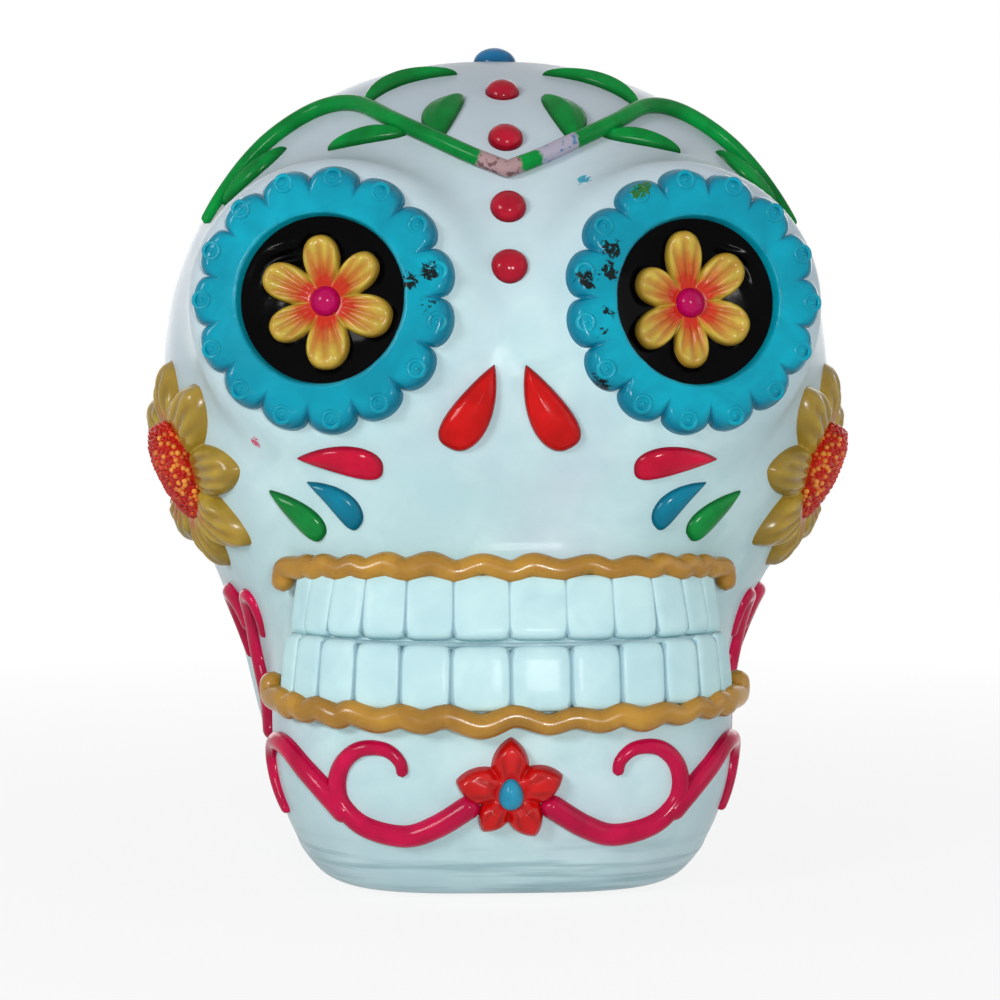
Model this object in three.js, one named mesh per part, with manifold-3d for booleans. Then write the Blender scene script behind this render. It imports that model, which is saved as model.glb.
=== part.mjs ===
// Sugar skull: a hollow cast skull that stands on its flat jaw, with raised and painted ornaments.
// Millimetres, +Z up, the face looks along -Y. Paired pieces are made at +X and mirrored for the left.
import * as THREE from 'three';
import { mergeVertices } from 'three/addons/utils/BufferGeometryUtils.js';
import Module from 'manifold-3d';

const wasm = await Module();
wasm.setup();

// Clearance between an ornament and what it lies on or beside, and under a wide one on the curved casting
const GAP = 0.3;
const WIDE_GAP = 0.5;

// The three blocks of the form: a power of 2 makes a block round, and a higher one makes it squarer

// Cranium
const CRANIUM_HALF_WIDTH = 66.5;
const CRANIUM_HALF_DEPTH = 71.4;
const CRANIUM_HALF_HEIGHT = 65.6;
const CRANIUM_SETBACK = 6.3;
const CRANIUM_CENTRE_HEIGHT = 94;
const CRANIUM_PLAN_POWER = 2.7;
const CRANIUM_RISE_POWER = 2.05;

// Nape: the narrower body behind the jaw
const NAPE_HALF_WIDTH = 52.5;
const NAPE_HALF_DEPTH = 40;
const NAPE_HALF_HEIGHT = 62;
const NAPE_SETBACK = 16.8;
const NAPE_CENTRE_HEIGHT = 55;
const NAPE_POWER = 2.3;

// Muzzle: the block that carries the mouth and the chin
const MUZZLE_HALF_WIDTH = 43;
const MUZZLE_HALF_DEPTH = 44;
const MUZZLE_HALF_HEIGHT = 38.5;
const MUZZLE_ADVANCE = 23;
const MUZZLE_CENTRE_HEIGHT = 30;
const MUZZLE_PLAN_POWER = 3.4;
const MUZZLE_RISE_POWER = 2.5;

// Casting
const FORM_BLEND = 14;
const WALL = 7;
const POUR_HOLE_RADIUS = 15;

// Eye seat: the flattened swelling that carries a rosette
const EYE_TURN = THREE.MathUtils.degToRad(9);
const SEAT_PROUD = 1.5;
const SEAT_MARGIN = 2;
const SEAT_ROUND = 6;
const SEAT_DEPTH = 30;
const SEAT_BLEND = 8;

// Eyes
const BROW_GAP = 17;
const ROSETTE_WIDTH = 8.4;
const ROSETTE_HEIGHT = 3.2;
const SCALLOP_COUNT = 15;
const SCALLOP_DEPTH = 2.8;
const DISH_RADIUS = 14.8;
const DISH_DEPTH = 4;
const DISH_THICKNESS = 1.2;
const DISH_RIM = 0.6;
const EYE_PETAL_COUNT = 6;
const EYE_FLOWER_MARGIN = 3;
const EYE_FLOWER_HEIGHT = 2.4;
const EYE_BEAD_RADIUS = 2.7;
const EYE_BEAD_HEIGHT = 2.4;
const EYE_FLOWER_VALLEY = 0.5;

// Nose drops
const NOSE_LENGTH = 16.5;
const NOSE_WIDTH = 7.4;
const NOSE_HEIGHT = 2.6;
const NOSE_BEND = 0.7;
const NOSE_GAP = 6;
const NOSE_BELOW_EYES = 18.5;
const NOSE_TILT = THREE.MathUtils.degToRad(29);

// Cheek petals: the lower pair clears the trim below and nests beside the crimson one
const CRIMSON_LENGTH = 15.5;
const CRIMSON_WIDTH = 5.8;
const CRIMSON_BEND = 1.1;
const CRIMSON_INSET = 2.5;
const CRIMSON_TILT = THREE.MathUtils.degToRad(8);
const BLUE_LENGTH = 12.2;
const BLUE_WIDTH = 4.8;
const BLUE_BEND = 1.2;
const BLUE_INSET = 1.4;
const GREEN_LENGTH = 13;
const GREEN_WIDTH = 5;
const GREEN_BEND = 0.4;
const GREEN_SHIFT = 3.7;
const PETAL_TILT = THREE.MathUtils.degToRad(43);
const PETAL_HEIGHT = 1.8;
const PETAL_CLEARANCE = 0.9;
const LOW_PETAL_CLEARANCE = 2.1;
const PETAL_NEST = 1.5;
const EYE_CLEARANCE = 1.6;

// Mouth: tooth widths run from the midline outwards
const TOOTH_WIDTHS = [10, 8.2, 7.4, 6.2, 5, 3.7];
const UPPER_TOOTH_HEIGHT = 9.5;
const LOWER_TOOTH_HEIGHT = 9.4;
const TOOTH_BULGE = 3;
const TOOTH_GROOVE = 1.3;
const BITE_GAP = 0.9;
const MOUTH_RISE = 2.6;

// Gold trims above and below the teeth
const TRIM_WIDTH = 4.2;
const TRIM_HEIGHT = 4.2;
const TRIM_WAVE = 0.45;
const TRIM_CLEARANCE = 0.5;
const TRIM_HOOK = 2.6;
const TRIM_END_WIDTH = 2.6;

// Chin and jaw ornaments
const BASE_BAND = 9.8;
const JAW_CLEARANCE = 0.6;
const CHIN_PETAL_COUNT = 5;
const CHIN_RAISE = 1.2;
const CHIN_FLOWER_RADIUS = 9.2;
const CHIN_FLOWER_HEIGHT = 2.8;
const CHIN_BEAD_RADIUS = 2.5;
const CHIN_BEAD_HEIGHT = 2.2;
const CHIN_FLOWER_VALLEY = 0.6;
const SCROLL_TUCK = 1.9;
const SCROLL_LENGTH = 45.7;
const SCROLL_HEIGHT = 19;
const SCROLL_WIDTH = 4.2;
const SCROLL_TIP_WIDTH = 2;
const SCROLL_RAISE = 2.4;
const SIDE_SCROLL_LENGTH = 27;
const SIDE_SCROLL_HEIGHT = 31;
const SIDE_SCROLL_CLEARANCE = 12;

// Temple flowers
const TEMPLE_PETAL_COUNT = 8;
const TEMPLE_RADIUS = 21.5;
const TEMPLE_HEIGHT = 3.4;
const TEMPLE_CLEARANCE = 8;
const TEMPLE_BEARING = THREE.MathUtils.degToRad(37);
const SEED_RADIUS = 9.5;
const SEED_HEIGHT = 3.6;
const TEMPLE_FLOWER_VALLEY = 0.6;

// Forehead beads, counted up the midline from eye level
const BEAD_RADIUS = 3.2;
const BEAD_HEIGHT = 2.4;
const BEAD_START = 6;
const LOWER_BEAD_GAP = 5.3;
const UPPER_BEAD_GAP = 9.6;
const CROWN_BEAD_GAP = 26.2;
const CROWN_BEAD_RADIUS = 4.4;
const CROWN_BEAD_HEIGHT = 3;

// Vine: bearing round the eye in degrees, clear distance outside the rosette
const VINE_WIDTH = 3;
const VINE_HEIGHT = 2.8;
const VINE_CLEARANCE = 1.2;
const VINE_HEADROOM = 2.8;
const VINE_TIP_WIDTH = 2;
const VINE_ROUTE = [
  [124, 15.6],
  [108, 15.4],
  [95, 18],
  [82, 24.5],
  [72, 27],
  [61, 25.5],
  [50, 22.5],
  [39, 19.5],
  [30, 17.5],
];

// Leaves: place along the stem, side of the stem, angle off the stem, and the blade's own size
const LEAF_HEIGHT = 2;
const LEAF_CLEARANCE = 0.4;
const LEAF_WIDTH = 4.4;
const BROAD_LEAF_WIDTH = 6.4;
const BROAD_LEAF_LENGTH = 13.5;
const BROAD_LEAF_BEND = -2;
const CRESCENT_LEAF_LENGTH = 20;
const CRESCENT_LEAF_BEND = -5;
const BROW_LEAF_LENGTH = 12.5;
const BROW_LEAF_BEND = -1.5;
const TAIL_LEAF_LENGTH = 14;
const TAIL_LEAF_BEND = -1;
const LEAVES = [
  {
    name: 'broad',
    at: 0.2,
    away: 1,
    spread: 70,
    length: BROAD_LEAF_LENGTH,
    width: BROAD_LEAF_WIDTH,
    bend: BROAD_LEAF_BEND,
  },
  {
    name: 'crescent',
    at: 0.46,
    away: 1,
    spread: 95,
    length: CRESCENT_LEAF_LENGTH,
    width: LEAF_WIDTH,
    bend: CRESCENT_LEAF_BEND,
  },
  {
    name: 'brow',
    at: 0.3,
    away: -1,
    spread: 50,
    length: BROW_LEAF_LENGTH,
    width: LEAF_WIDTH,
    bend: BROW_LEAF_BEND,
  },
  {
    name: 'tail',
    at: 0.93,
    away: -1,
    spread: 155,
    length: TAIL_LEAF_LENGTH,
    width: LEAF_WIDTH,
    bend: TAIL_LEAF_BEND,
  },
];

// Facets
const SKULL_AROUND = 64;
const SKULL_RINGS = 40;
const HOLLOW_AROUND = 24;
const HOLLOW_RINGS = 16;
const ROUND_SIDES = 28;
const BEAD_SIDES = 12;
const DROP_SIDES = 14;
const DOME_RINGS = 3;
const FLOWER_RINGS = 4;
const PETAL_SIDES = 6;
const SCALLOP_SIDES = 4;
const ROSETTE_SIDES = 6;
const DISH_RINGS = 5;
const TOOTH_COLUMNS = 3;
const TOOTH_ROWS = 2;
const STEM_STEPS = 24;
const CAST_STEPS = 40;
const DRAPE_STEPS = 60;
const WALK_STEP = THREE.MathUtils.degToRad(0.5);

// Places worked out from the sizes above, from the base upwards
const rosetteInner = DISH_RADIUS + GAP;
const rosetteRadius = rosetteInner + ROSETTE_WIDTH;
const eyeX = rosetteRadius + BROW_GAP / 2;
const trimReach = TRIM_WIDTH / 2 + TRIM_WAVE;
const jawRow = Math.max(SCROLL_HEIGHT, CHIN_RAISE + 2 * CHIN_FLOWER_RADIUS);
const chinZ = BASE_BAND + CHIN_RAISE + CHIN_FLOWER_RADIUS;
const lowerTrimZ = BASE_BAND + jawRow + JAW_CLEARANCE + trimReach;
const lowerTeethZ = lowerTrimZ + trimReach + TRIM_CLEARANCE;
const biteZ = lowerTeethZ + LOWER_TOOTH_HEIGHT + BITE_GAP / 2;
const upperTeethZ = biteZ + BITE_GAP / 2;
const upperTrimZ = upperTeethZ + UPPER_TOOTH_HEIGHT + TRIM_CLEARANCE + trimReach;
const lowPetals = GREEN_LENGTH * Math.sin(PETAL_TILT) + GREEN_WIDTH / 2;
const lowPetalsZ = upperTrimZ + trimReach + LOW_PETAL_CLEARANCE + lowPetals / 2;
const highPetal = CRIMSON_WIDTH + CRIMSON_LENGTH * Math.sin(CRIMSON_TILT) / 2;
const highPetalZ = lowPetalsZ + lowPetals / 2 - PETAL_NEST + highPetal / 2;
const eyeZ = highPetalZ + highPetal / 2 + EYE_CLEARANCE + rosetteRadius;
const halfMouth = TOOTH_WIDTHS.reduce((sum, width) => sum + width, 0);
const mouthEnd = halfMouth + TRIM_CLEARANCE + TRIM_WIDTH / 2;
const mouthCorner = mouthEnd + TRIM_HOOK + TRIM_WIDTH / 2;

// Form of the skull, as a distance that is negative inside it

const CRANIUM = {
  halfWidth: CRANIUM_HALF_WIDTH,
  halfDepth: CRANIUM_HALF_DEPTH,
  halfHeight: CRANIUM_HALF_HEIGHT,
  y: CRANIUM_SETBACK,
  z: CRANIUM_CENTRE_HEIGHT,
  plan: CRANIUM_PLAN_POWER,
  rise: CRANIUM_RISE_POWER,
};
const NAPE = {
  halfWidth: NAPE_HALF_WIDTH,
  halfDepth: NAPE_HALF_DEPTH,
  halfHeight: NAPE_HALF_HEIGHT,
  y: NAPE_SETBACK,
  z: NAPE_CENTRE_HEIGHT,
  plan: NAPE_POWER,
  rise: NAPE_POWER,
};
const MUZZLE = {
  halfWidth: MUZZLE_HALF_WIDTH,
  halfDepth: MUZZLE_HALF_DEPTH,
  halfHeight: MUZZLE_HALF_HEIGHT,
  y: -MUZZLE_ADVANCE,
  z: MUZZLE_CENTRE_HEIGHT,
  plan: MUZZLE_PLAN_POWER,
  rise: MUZZLE_RISE_POWER,
};

// A rounded block: its plan and its rise are superellipses with their own exponents.
function blockDistance(block, p) {
  const x = Math.abs(p.x) / block.halfWidth;
  const y = Math.abs(p.y - block.y) / block.halfDepth;
  const z = Math.abs(p.z - block.z) / block.halfHeight;
  const level = (x ** block.plan + y ** block.plan) ** (1 / block.plan);
  const size = (level ** block.rise + z ** block.rise) ** (1 / block.rise);
  const levelSlope = (level / size) ** (block.rise - 1);
  const slopeX = levelSlope * (x / level) ** (block.plan - 1) / block.halfWidth;
  const slopeY = levelSlope * (y / level) ** (block.plan - 1) / block.halfDepth;
  const slopeZ = (z / size) ** (block.rise - 1) / block.halfHeight;
  return (size - 1) / Math.hypot(slopeX, slopeY, slopeZ);
}

// Joins two distances with a soft valley between the forms.
function softJoin(a, b, reach) {
  const overlap = Math.max(reach - Math.abs(a - b), 0) / reach;
  return Math.min(a, b) - overlap * overlap * reach / 4;
}

function bareSkull(p) {
  const head = softJoin(blockDistance(CRANIUM, p), blockDistance(NAPE, p), FORM_BLEND);
  return softJoin(head, blockDistance(MUZZLE, p), FORM_BLEND);
}

const headCentre = new THREE.Vector3(0, CRANIUM_SETBACK, CRANIUM_CENTRE_HEIGHT);
const castReach = 2 * (CRANIUM_HALF_DEPTH + CRANIUM_HALF_HEIGHT);
const upward = new THREE.Vector3(0, 0, 1);
const backward = new THREE.Vector3(0, 1, 0);
const forward = new THREE.Vector3(0, -1, 0);

// Point where a ray from inside the form reaches the given distance from its surface.
function cast(field, from, direction, level) {
  const point = new THREE.Vector3();
  let low = 0;
  let high = castReach;
  for (let i = 0; i < CAST_STEPS; i += 1) {
    const middle = (low + high) / 2;
    point.copy(from).addScaledVector(direction, middle);
    if (field(point) < level) {
      low = middle;
    } else {
      high = middle;
    }
  }
  return point;
}

// A frame to build in: across, up and out from an origin.
function makePlace(origin, out, upHint) {
  const right = new THREE.Vector3().crossVectors(upHint, out).normalize();
  const up = new THREE.Vector3().crossVectors(out, right);
  return { origin, right, up, out };
}

function pointIn(place, a, b, t) {
  return place.origin.clone()
    .addScaledVector(place.right, a)
    .addScaledVector(place.up, b)
    .addScaledVector(place.out, t);
}

const eyeOut = new THREE.Vector3(Math.sin(EYE_TURN), -Math.cos(EYE_TURN), 0);
const eyeFloor = cast(bareSkull, new THREE.Vector3(eyeX, 0, eyeZ), forward, 0);
const eye = makePlace(eyeFloor.addScaledVector(eyeOut, SEAT_PROUD), eyeOut, upward);

// The flattened seat behind each rosette: a rounded drum on both sides of the midline.
function seatDistance(p) {
  const offset = new THREE.Vector3(Math.abs(p.x), p.y, p.z).sub(eye.origin);
  const along = offset.dot(eye.out);
  const aside = offset.addScaledVector(eye.out, -along).length();
  const radial = aside - (rosetteRadius + SEAT_MARGIN - SEAT_ROUND);
  const axial = Math.abs(along + SEAT_DEPTH / 2) - (SEAT_DEPTH / 2 - SEAT_ROUND);
  const outside = Math.hypot(Math.max(radial, 0), Math.max(axial, 0));
  return outside + Math.min(Math.max(radial, axial), 0) - SEAT_ROUND;
}

function skull(p) {
  return softJoin(bareSkull(p), seatDistance(p), SEAT_BLEND);
}

const NORMAL_STEP = 0.01;

function normalAt(p) {
  const slope = (dx, dy, dz) => {
    const ahead = skull(new THREE.Vector3(p.x + dx, p.y + dy, p.z + dz));
    const behind = skull(new THREE.Vector3(p.x - dx, p.y - dy, p.z - dz));
    return ahead - behind;
  };
  return new THREE.Vector3(slope(NORMAL_STEP, 0, 0), slope(0, NORMAL_STEP, 0), slope(0, 0, NORMAL_STEP))
    .normalize();
}

// Places on the skull

function onFace(x, z) {
  return cast(skull, new THREE.Vector3(x, 0, z), forward, 0);
}

function fromHead(direction, level) {
  return cast(skull, headCentre, direction, level);
}

// A surface point at a bearing round the right eye and a distance from its centre.
function aroundEye(bearing, distance) {
  const axis = eye.origin.clone().sub(headCentre);
  const angle = distance / axis.length();
  const toEye = makePlace(headCentre, axis.normalize(), upward);
  const aside = Math.sin(angle);
  const direction = new THREE.Vector3()
    .addScaledVector(toEye.right, aside * Math.cos(bearing))
    .addScaledVector(toEye.up, aside * Math.sin(bearing))
    .addScaledVector(toEye.out, Math.cos(angle));
  return fromHead(direction, 0);
}

// A surface point on the midline, at a distance up the forehead from eye level.
function onMidline(distance) {
  let point = onFace(0, eyeZ);
  let pitch = Math.atan2(point.z - headCentre.z, headCentre.y - point.y);
  let travelled = 0;
  while (travelled < distance) {
    pitch += WALK_STEP;
    const next = fromHead(new THREE.Vector3(0, -Math.cos(pitch), Math.sin(pitch)), 0);
    const stride = next.distanceTo(point);
    const share = Math.min((distance - travelled) / stride, 1);
    point = point.clone().lerp(next, share);
    travelled += stride;
  }
  return point;
}

// Turn about the jaw's upright axis for each distance along the bite line.
const jawTurns = [];
const jawDistances = [];

function jawDirection(turn) {
  return new THREE.Vector3(Math.sin(turn), -Math.cos(turn), 0);
}

function measureJaw() {
  const centre = new THREE.Vector3(0, 0, biteZ);
  let previous = cast(skull, centre, jawDirection(0), 0);
  let travelled = 0;
  for (let turn = 0; turn < Math.PI; turn += WALK_STEP) {
    const point = cast(skull, centre, jawDirection(turn), 0);
    travelled += point.distanceTo(previous);
    previous = point;
    jawTurns.push(turn);
    jawDistances.push(travelled);
  }
}

measureJaw();

// A point over the jaw: distance round from the midline, height, and clearance from the surface.
function onJaw(distance, z, level) {
  const after = Math.max(jawDistances.findIndex((value) => value > Math.abs(distance)), 1);
  const span = jawDistances[after] - jawDistances[after - 1];
  const share = (Math.abs(distance) - jawDistances[after - 1]) / span;
  const turn = THREE.MathUtils.lerp(jawTurns[after - 1], jawTurns[after], share) * Math.sign(distance);
  return cast(skull, new THREE.Vector3(0, 0, z), jawDirection(turn), level);
}

// Heights in the mouth lift towards its corners, most along the lower trim.
function mouthHeight(z, distance) {
  const share = (upperTrimZ - z) / (upperTrimZ - lowerTrimZ);
  return z + MOUTH_RISE * share * (distance / mouthEnd) ** 2;
}

// Shapes

function sealed(geometry) {
  geometry.deleteAttribute('normal');
  geometry.deleteAttribute('uv');
  return mergeVertices(geometry);
}

function mirrored(geometry) {
  const copy = geometry.clone();
  copy.scale(-1, 1, 1);
  const index = copy.index.array;
  for (let i = 0; i < index.length; i += 3) {
    [index[i], index[i + 1]] = [index[i + 1], index[i]];
  }
  return copy;
}

function moveVertices(geometry, move) {
  const positions = geometry.attributes.position;
  const vertex = new THREE.Vector3();
  for (let i = 0; i < positions.count; i += 1) {
    vertex.fromBufferAttribute(positions, i);
    const moved = move(vertex, i);
    positions.setXYZ(i, moved.x, moved.y, moved.z);
  }
  return sealed(geometry);
}

// Height of the skull's surface over a place's plane, with the clearance added.
function groundUnder(place, clearance = GAP) {
  return (a, b) => {
    let height = 0;
    for (let i = 0; i < DRAPE_STEPS; i += 1) {
      height -= skull(pointIn(place, a, b, height)) - clearance;
    }
    return height;
  };
}

// A closed pad: rings of a disc shaped to an outline, raised above, and flat on its ground below.
function padGeometry(place, { around, rings, shape, height, ground }) {
  return moveVertices(new THREE.SphereGeometry(1, around, 2 * rings), (vertex) => {
    const ring = Math.round(Math.acos(vertex.y) / Math.PI * 2 * rings);
    const spread = Math.min(ring, 2 * rings - ring) / rings;
    const angle = Math.atan2(-vertex.z, vertex.x);
    const [a, b] = shape(spread, angle);
    const raised = ring < rings ? height(spread, angle) : 0;
    return pointIn(place, a, b, ground(a, b) + raised);
  });
}

function bead(place, radius, height, ground = groundUnder(place)) {
  return padGeometry(place, {
    around: BEAD_SIDES,
    rings: DOME_RINGS,
    shape: (spread, angle) => {
      const reach = radius * Math.sin(spread * Math.PI / 2);
      return [reach * Math.cos(angle), reach * Math.sin(angle)];
    },
    height: (spread) => height * Math.cos(spread * Math.PI / 2),
    ground,
  });
}

// Outlines by the turn round a drop's middle, one unit wide each side at their widest: a tear is
// full at one end and drawn to a tip at the other, and a blade is drawn to a tip at both.
const TEAR_FULLNESS = 0.75;
const TEAR_POINT = 1;
const BLADE_POINT = 0.5;

const widestTurn = 2 * Math.atan(Math.sqrt(TEAR_POINT / TEAR_FULLNESS + 1));

function rawTear(turn) {
  const across = Math.sin(turn);
  return Math.sign(across) * Math.abs(across) ** TEAR_FULLNESS * Math.abs(Math.sin(turn / 2)) ** TEAR_POINT;
}

function tear(turn) {
  return rawTear(turn) / rawTear(widestTurn);
}

function blade(turn) {
  return Math.sin(turn) * Math.abs(Math.sin(turn)) ** BLADE_POINT;
}

// A domed drop with an outline, bent to one side in the middle of its length.
function drop(place, { outline, length, width, height, bend = 0 }) {
  return padGeometry(place, {
    around: DROP_SIDES,
    rings: DOME_RINGS,
    shape: (spread, angle) => {
      const reach = Math.sin(spread * Math.PI / 2);
      const along = reach * Math.cos(angle);
      const across = reach * outline(angle);
      return [along * length / 2, across * width / 2 + bend * (1 - along * along)];
    },
    height: (spread) => height * Math.cos(spread * Math.PI / 2),
    ground: groundUnder(place),
  });
}

// A flower cast in one: a flat round core that seats a bead, and petals that swell round it. The valley
// between petals is a share of their radius, and a petal falls away from its tip to the valley by a power
// of the turn between them.
const PETAL_EDGE_RISE = 0.4;
const ROUND_PETAL = 3.3;
const POINTED_PETAL = 1.5;
const STAR_PETAL = 1.15;

function flower(place, { petals, fall, valley, radius, core, height, coreHeight, ground }) {
  const lobe = (angle) => {
    const turns = petals * (angle - Math.PI / 2) / (2 * Math.PI);
    return 1 - (2 * Math.abs(turns - Math.round(turns))) ** fall;
  };
  return padGeometry(place, {
    around: petals * PETAL_SIDES,
    rings: FLOWER_RINGS,
    shape: (spread, angle) => {
      const reach = radius * THREE.MathUtils.lerp(valley, 1, lobe(angle));
      const ring = spread * FLOWER_RINGS;
      const outer = Math.sin((ring - 1) / (FLOWER_RINGS - 1) * Math.PI / 2);
      const distance = ring <= 1 ? ring * core : core + (reach - core) * outer;
      return [distance * Math.cos(angle), distance * Math.sin(angle)];
    },
    height: (spread, angle) => {
      const outer = Math.max(spread * FLOWER_RINGS - 1, 0) / (FLOWER_RINGS - 1);
      const swell = Math.sin(outer * Math.PI) * THREE.MathUtils.lerp(PETAL_EDGE_RISE, 1, lobe(angle));
      return THREE.MathUtils.lerp(coreHeight, height, swell);
    },
    ground,
  });
}

// Half-round section of a cord from its crest round, in shares of its half width and its height.
const CORD_SECTION = [[0, 1], [0.85, 0.6], [1, 0], [0, 0], [-1, 0], [-0.85, 0.6]];

// A half-round cord laid along points that already clear the surface, with a width for each share of
// its length; its height narrows with its width.
function cord(points, { widthAt, width, height }) {
  const steps = points.length - 1;
  const frames = points.map((point, i) => {
    const ahead = points[Math.min(i + 1, steps)];
    const behind = points[Math.max(i - 1, 0)];
    const along = ahead.clone().sub(behind).normalize();
    const out = normalAt(point);
    return { point, out, side: new THREE.Vector3().crossVectors(along, out).normalize() };
  });
  const sides = CORD_SECTION.length;
  return moveVertices(new THREE.CylinderGeometry(1, 1, 1, sides, steps), (vertex) => {
    const step = Math.round((vertex.y + 0.5) * steps);
    const { point, out, side } = frames[step];
    const scale = widthAt(step / steps) / width;
    const turn = Math.round(Math.atan2(vertex.x, vertex.z) / (2 * Math.PI) * sides);
    const isEndCentre = Math.hypot(vertex.x, vertex.z) < 1 / 2;
    const [across, rise] = isEndCentre ? [0, 1 / 2] : CORD_SECTION[(turn + sides) % sides];
    return point.clone()
      .addScaledVector(side, across * scale * width / 2)
      .addScaledVector(out, rise * scale * height);
  });
}

// Width along a cord that narrows to its two ends over a share of its length.
function narrowEnds(width, endWidth, run) {
  return (share) => THREE.MathUtils.lerp(endWidth, width, Math.min(share / run, (1 - share) / run, 1));
}

function asSolid(geometry) {
  return new wasm.Manifold(new wasm.Mesh({
    numProp: 3,
    vertProperties: new Float32Array(geometry.attributes.position.array),
    triVerts: new Uint32Array(geometry.index.array),
  }));
}

function asGeometry(solid) {
  const mesh = solid.getMesh();
  const geometry = new THREE.BufferGeometry();
  geometry.setAttribute('position', new THREE.BufferAttribute(mesh.vertProperties, 3));
  geometry.setIndex(new THREE.BufferAttribute(mesh.triVerts, 1));
  return geometry;
}

function joined(geometries) {
  const solids = geometries.map(asSolid);
  return asGeometry(solids.reduce((whole, solid) => whole.add(solid)));
}

// Skull casting

// The form is faceted by rays from midway between the cranium and the muzzle.
const formCentre = new THREE.Vector3(0, CRANIUM.y + MUZZLE.y, CRANIUM.z + MUZZLE.z).divideScalar(2);

function formGeometry(field, level, around, rings) {
  return moveVertices(new THREE.SphereGeometry(1, around, rings), (vertex) => {
    const direction = new THREE.Vector3(vertex.x, -vertex.z, vertex.y);
    return cast(field, formCentre, direction, level);
  });
}

function boxBelow(z) {
  const box = new THREE.BoxGeometry(castReach, castReach, castReach);
  box.translate(0, 0, z - castReach / 2);
  return asSolid(sealed(box));
}

const dishFloor = DISH_RIM - DISH_DEPTH - DISH_THICKNESS;

function eyePocket() {
  const depth = SEAT_DEPTH / 2;
  const pocket = new THREE.CylinderGeometry(DISH_RADIUS + GAP, DISH_RADIUS + GAP, depth, ROUND_SIDES);
  pocket.translate(0, dishFloor - GAP + depth / 2, 0);
  return placeTurned(sealed(pocket), eye);
}

// Stands a turned shape, made about the Y axis, along the place's outward direction.
function placeTurned(geometry, place) {
  const basis = new THREE.Matrix4().makeBasis(place.right, place.out, place.up.clone().negate());
  return geometry.applyMatrix4(basis.setPosition(place.origin));
}

function skullShell() {
  const inside = formGeometry(bareSkull, -WALL, HOLLOW_AROUND, HOLLOW_RINGS);
  const hollow = asSolid(inside).subtract(boxBelow(WALL));
  const hole = new THREE.CylinderGeometry(POUR_HOLE_RADIUS, POUR_HOLE_RADIUS, 4 * WALL, ROUND_SIDES);
  hole.rotateX(Math.PI / 2);
  const pocket = eyePocket();
  const shell = asSolid(formGeometry(skull, 0, SKULL_AROUND, SKULL_RINGS))
    .subtract(boxBelow(0))
    .subtract(hollow)
    .subtract(asSolid(sealed(hole)))
    .subtract(asSolid(pocket))
    .subtract(asSolid(mirrored(pocket)));
  return asGeometry(shell);
}

// Eyes

function eyeRosette() {
  const tube = 0.4;
  const ring = new THREE.TorusGeometry(1, tube, ROSETTE_SIDES, SCALLOP_COUNT * SCALLOP_SIDES);
  const ground = groundUnder(eye);
  return moveVertices(ring, (vertex) => {
    const angle = Math.atan2(vertex.y, vertex.x);
    const radial = (Math.hypot(vertex.x, vertex.y) - 1) / tube;
    const lift = vertex.z / tube;
    const lobe = 2 * THREE.MathUtils.euclideanModulo(angle / (2 * Math.PI) * SCALLOP_COUNT + 0.5, 1) - 1;
    const edge = rosetteRadius - SCALLOP_DEPTH * (1 - Math.sqrt(1 - lobe * lobe));
    const distance = rosetteInner + GAP + (edge - rosetteInner - GAP) * (radial + 1) / 2;
    const a = distance * Math.cos(angle);
    const b = distance * Math.sin(angle);
    return pointIn(eye, a, b, ground(a, b) + ROSETTE_HEIGHT * Math.max(lift, 0));
  });
}

function dishHeight(distance) {
  return DISH_RIM - DISH_DEPTH * (1 - (distance / DISH_RADIUS) ** 2);
}

function eyeDish() {
  const profile = [new THREE.Vector2(0, dishFloor), new THREE.Vector2(DISH_RADIUS, dishFloor)];
  for (let i = DISH_RINGS; i >= 0; i -= 1) {
    const distance = DISH_RADIUS * i / DISH_RINGS;
    profile.push(new THREE.Vector2(distance, dishHeight(distance)));
  }
  return placeTurned(sealed(new THREE.LatheGeometry(profile, ROUND_SIDES)), eye);
}

const eyeCoreHeight = EYE_FLOWER_HEIGHT / 2;

function eyeFlower() {
  return flower(eye, {
    petals: EYE_PETAL_COUNT,
    fall: ROUND_PETAL,
    valley: EYE_FLOWER_VALLEY,
    radius: DISH_RADIUS - EYE_FLOWER_MARGIN,
    core: EYE_BEAD_RADIUS + GAP,
    height: EYE_FLOWER_HEIGHT,
    coreHeight: eyeCoreHeight,
    ground: (a, b) => dishHeight(Math.hypot(a, b)) + GAP,
  });
}

function eyeBead() {
  const seat = dishHeight(EYE_BEAD_RADIUS + GAP) + GAP + eyeCoreHeight + GAP;
  return bead(eye, EYE_BEAD_RADIUS, EYE_BEAD_HEIGHT, () => seat);
}

// Nose and cheeks

// A place on the face whose first axis is turned from the horizontal.
function facePlace(x, z, turn) {
  const point = onFace(x, z);
  const level = makePlace(point, normalAt(point), upward);
  const right = new THREE.Vector3()
    .addScaledVector(level.right, Math.cos(turn))
    .addScaledVector(level.up, Math.sin(turn));
  return { origin: point, right, up: new THREE.Vector3().crossVectors(level.out, right), out: level.out };
}

function noseDrop() {
  const x = (NOSE_GAP + NOSE_WIDTH) / 2;
  const place = facePlace(x, eyeZ - NOSE_BELOW_EYES, Math.PI / 2 + NOSE_TILT);
  const size = { length: NOSE_LENGTH, width: NOSE_WIDTH, height: NOSE_HEIGHT, bend: NOSE_BEND };
  return drop(place, { outline: tear, ...size });
}

function cheekPetal(place, length, width, bend) {
  return drop(place, { outline: tear, length, width, height: PETAL_HEIGHT, bend });
}

function crimsonPetal() {
  const place = facePlace(eyeX - CRIMSON_INSET, highPetalZ, CRIMSON_TILT);
  return cheekPetal(place, CRIMSON_LENGTH, CRIMSON_WIDTH, CRIMSON_BEND);
}

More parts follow.
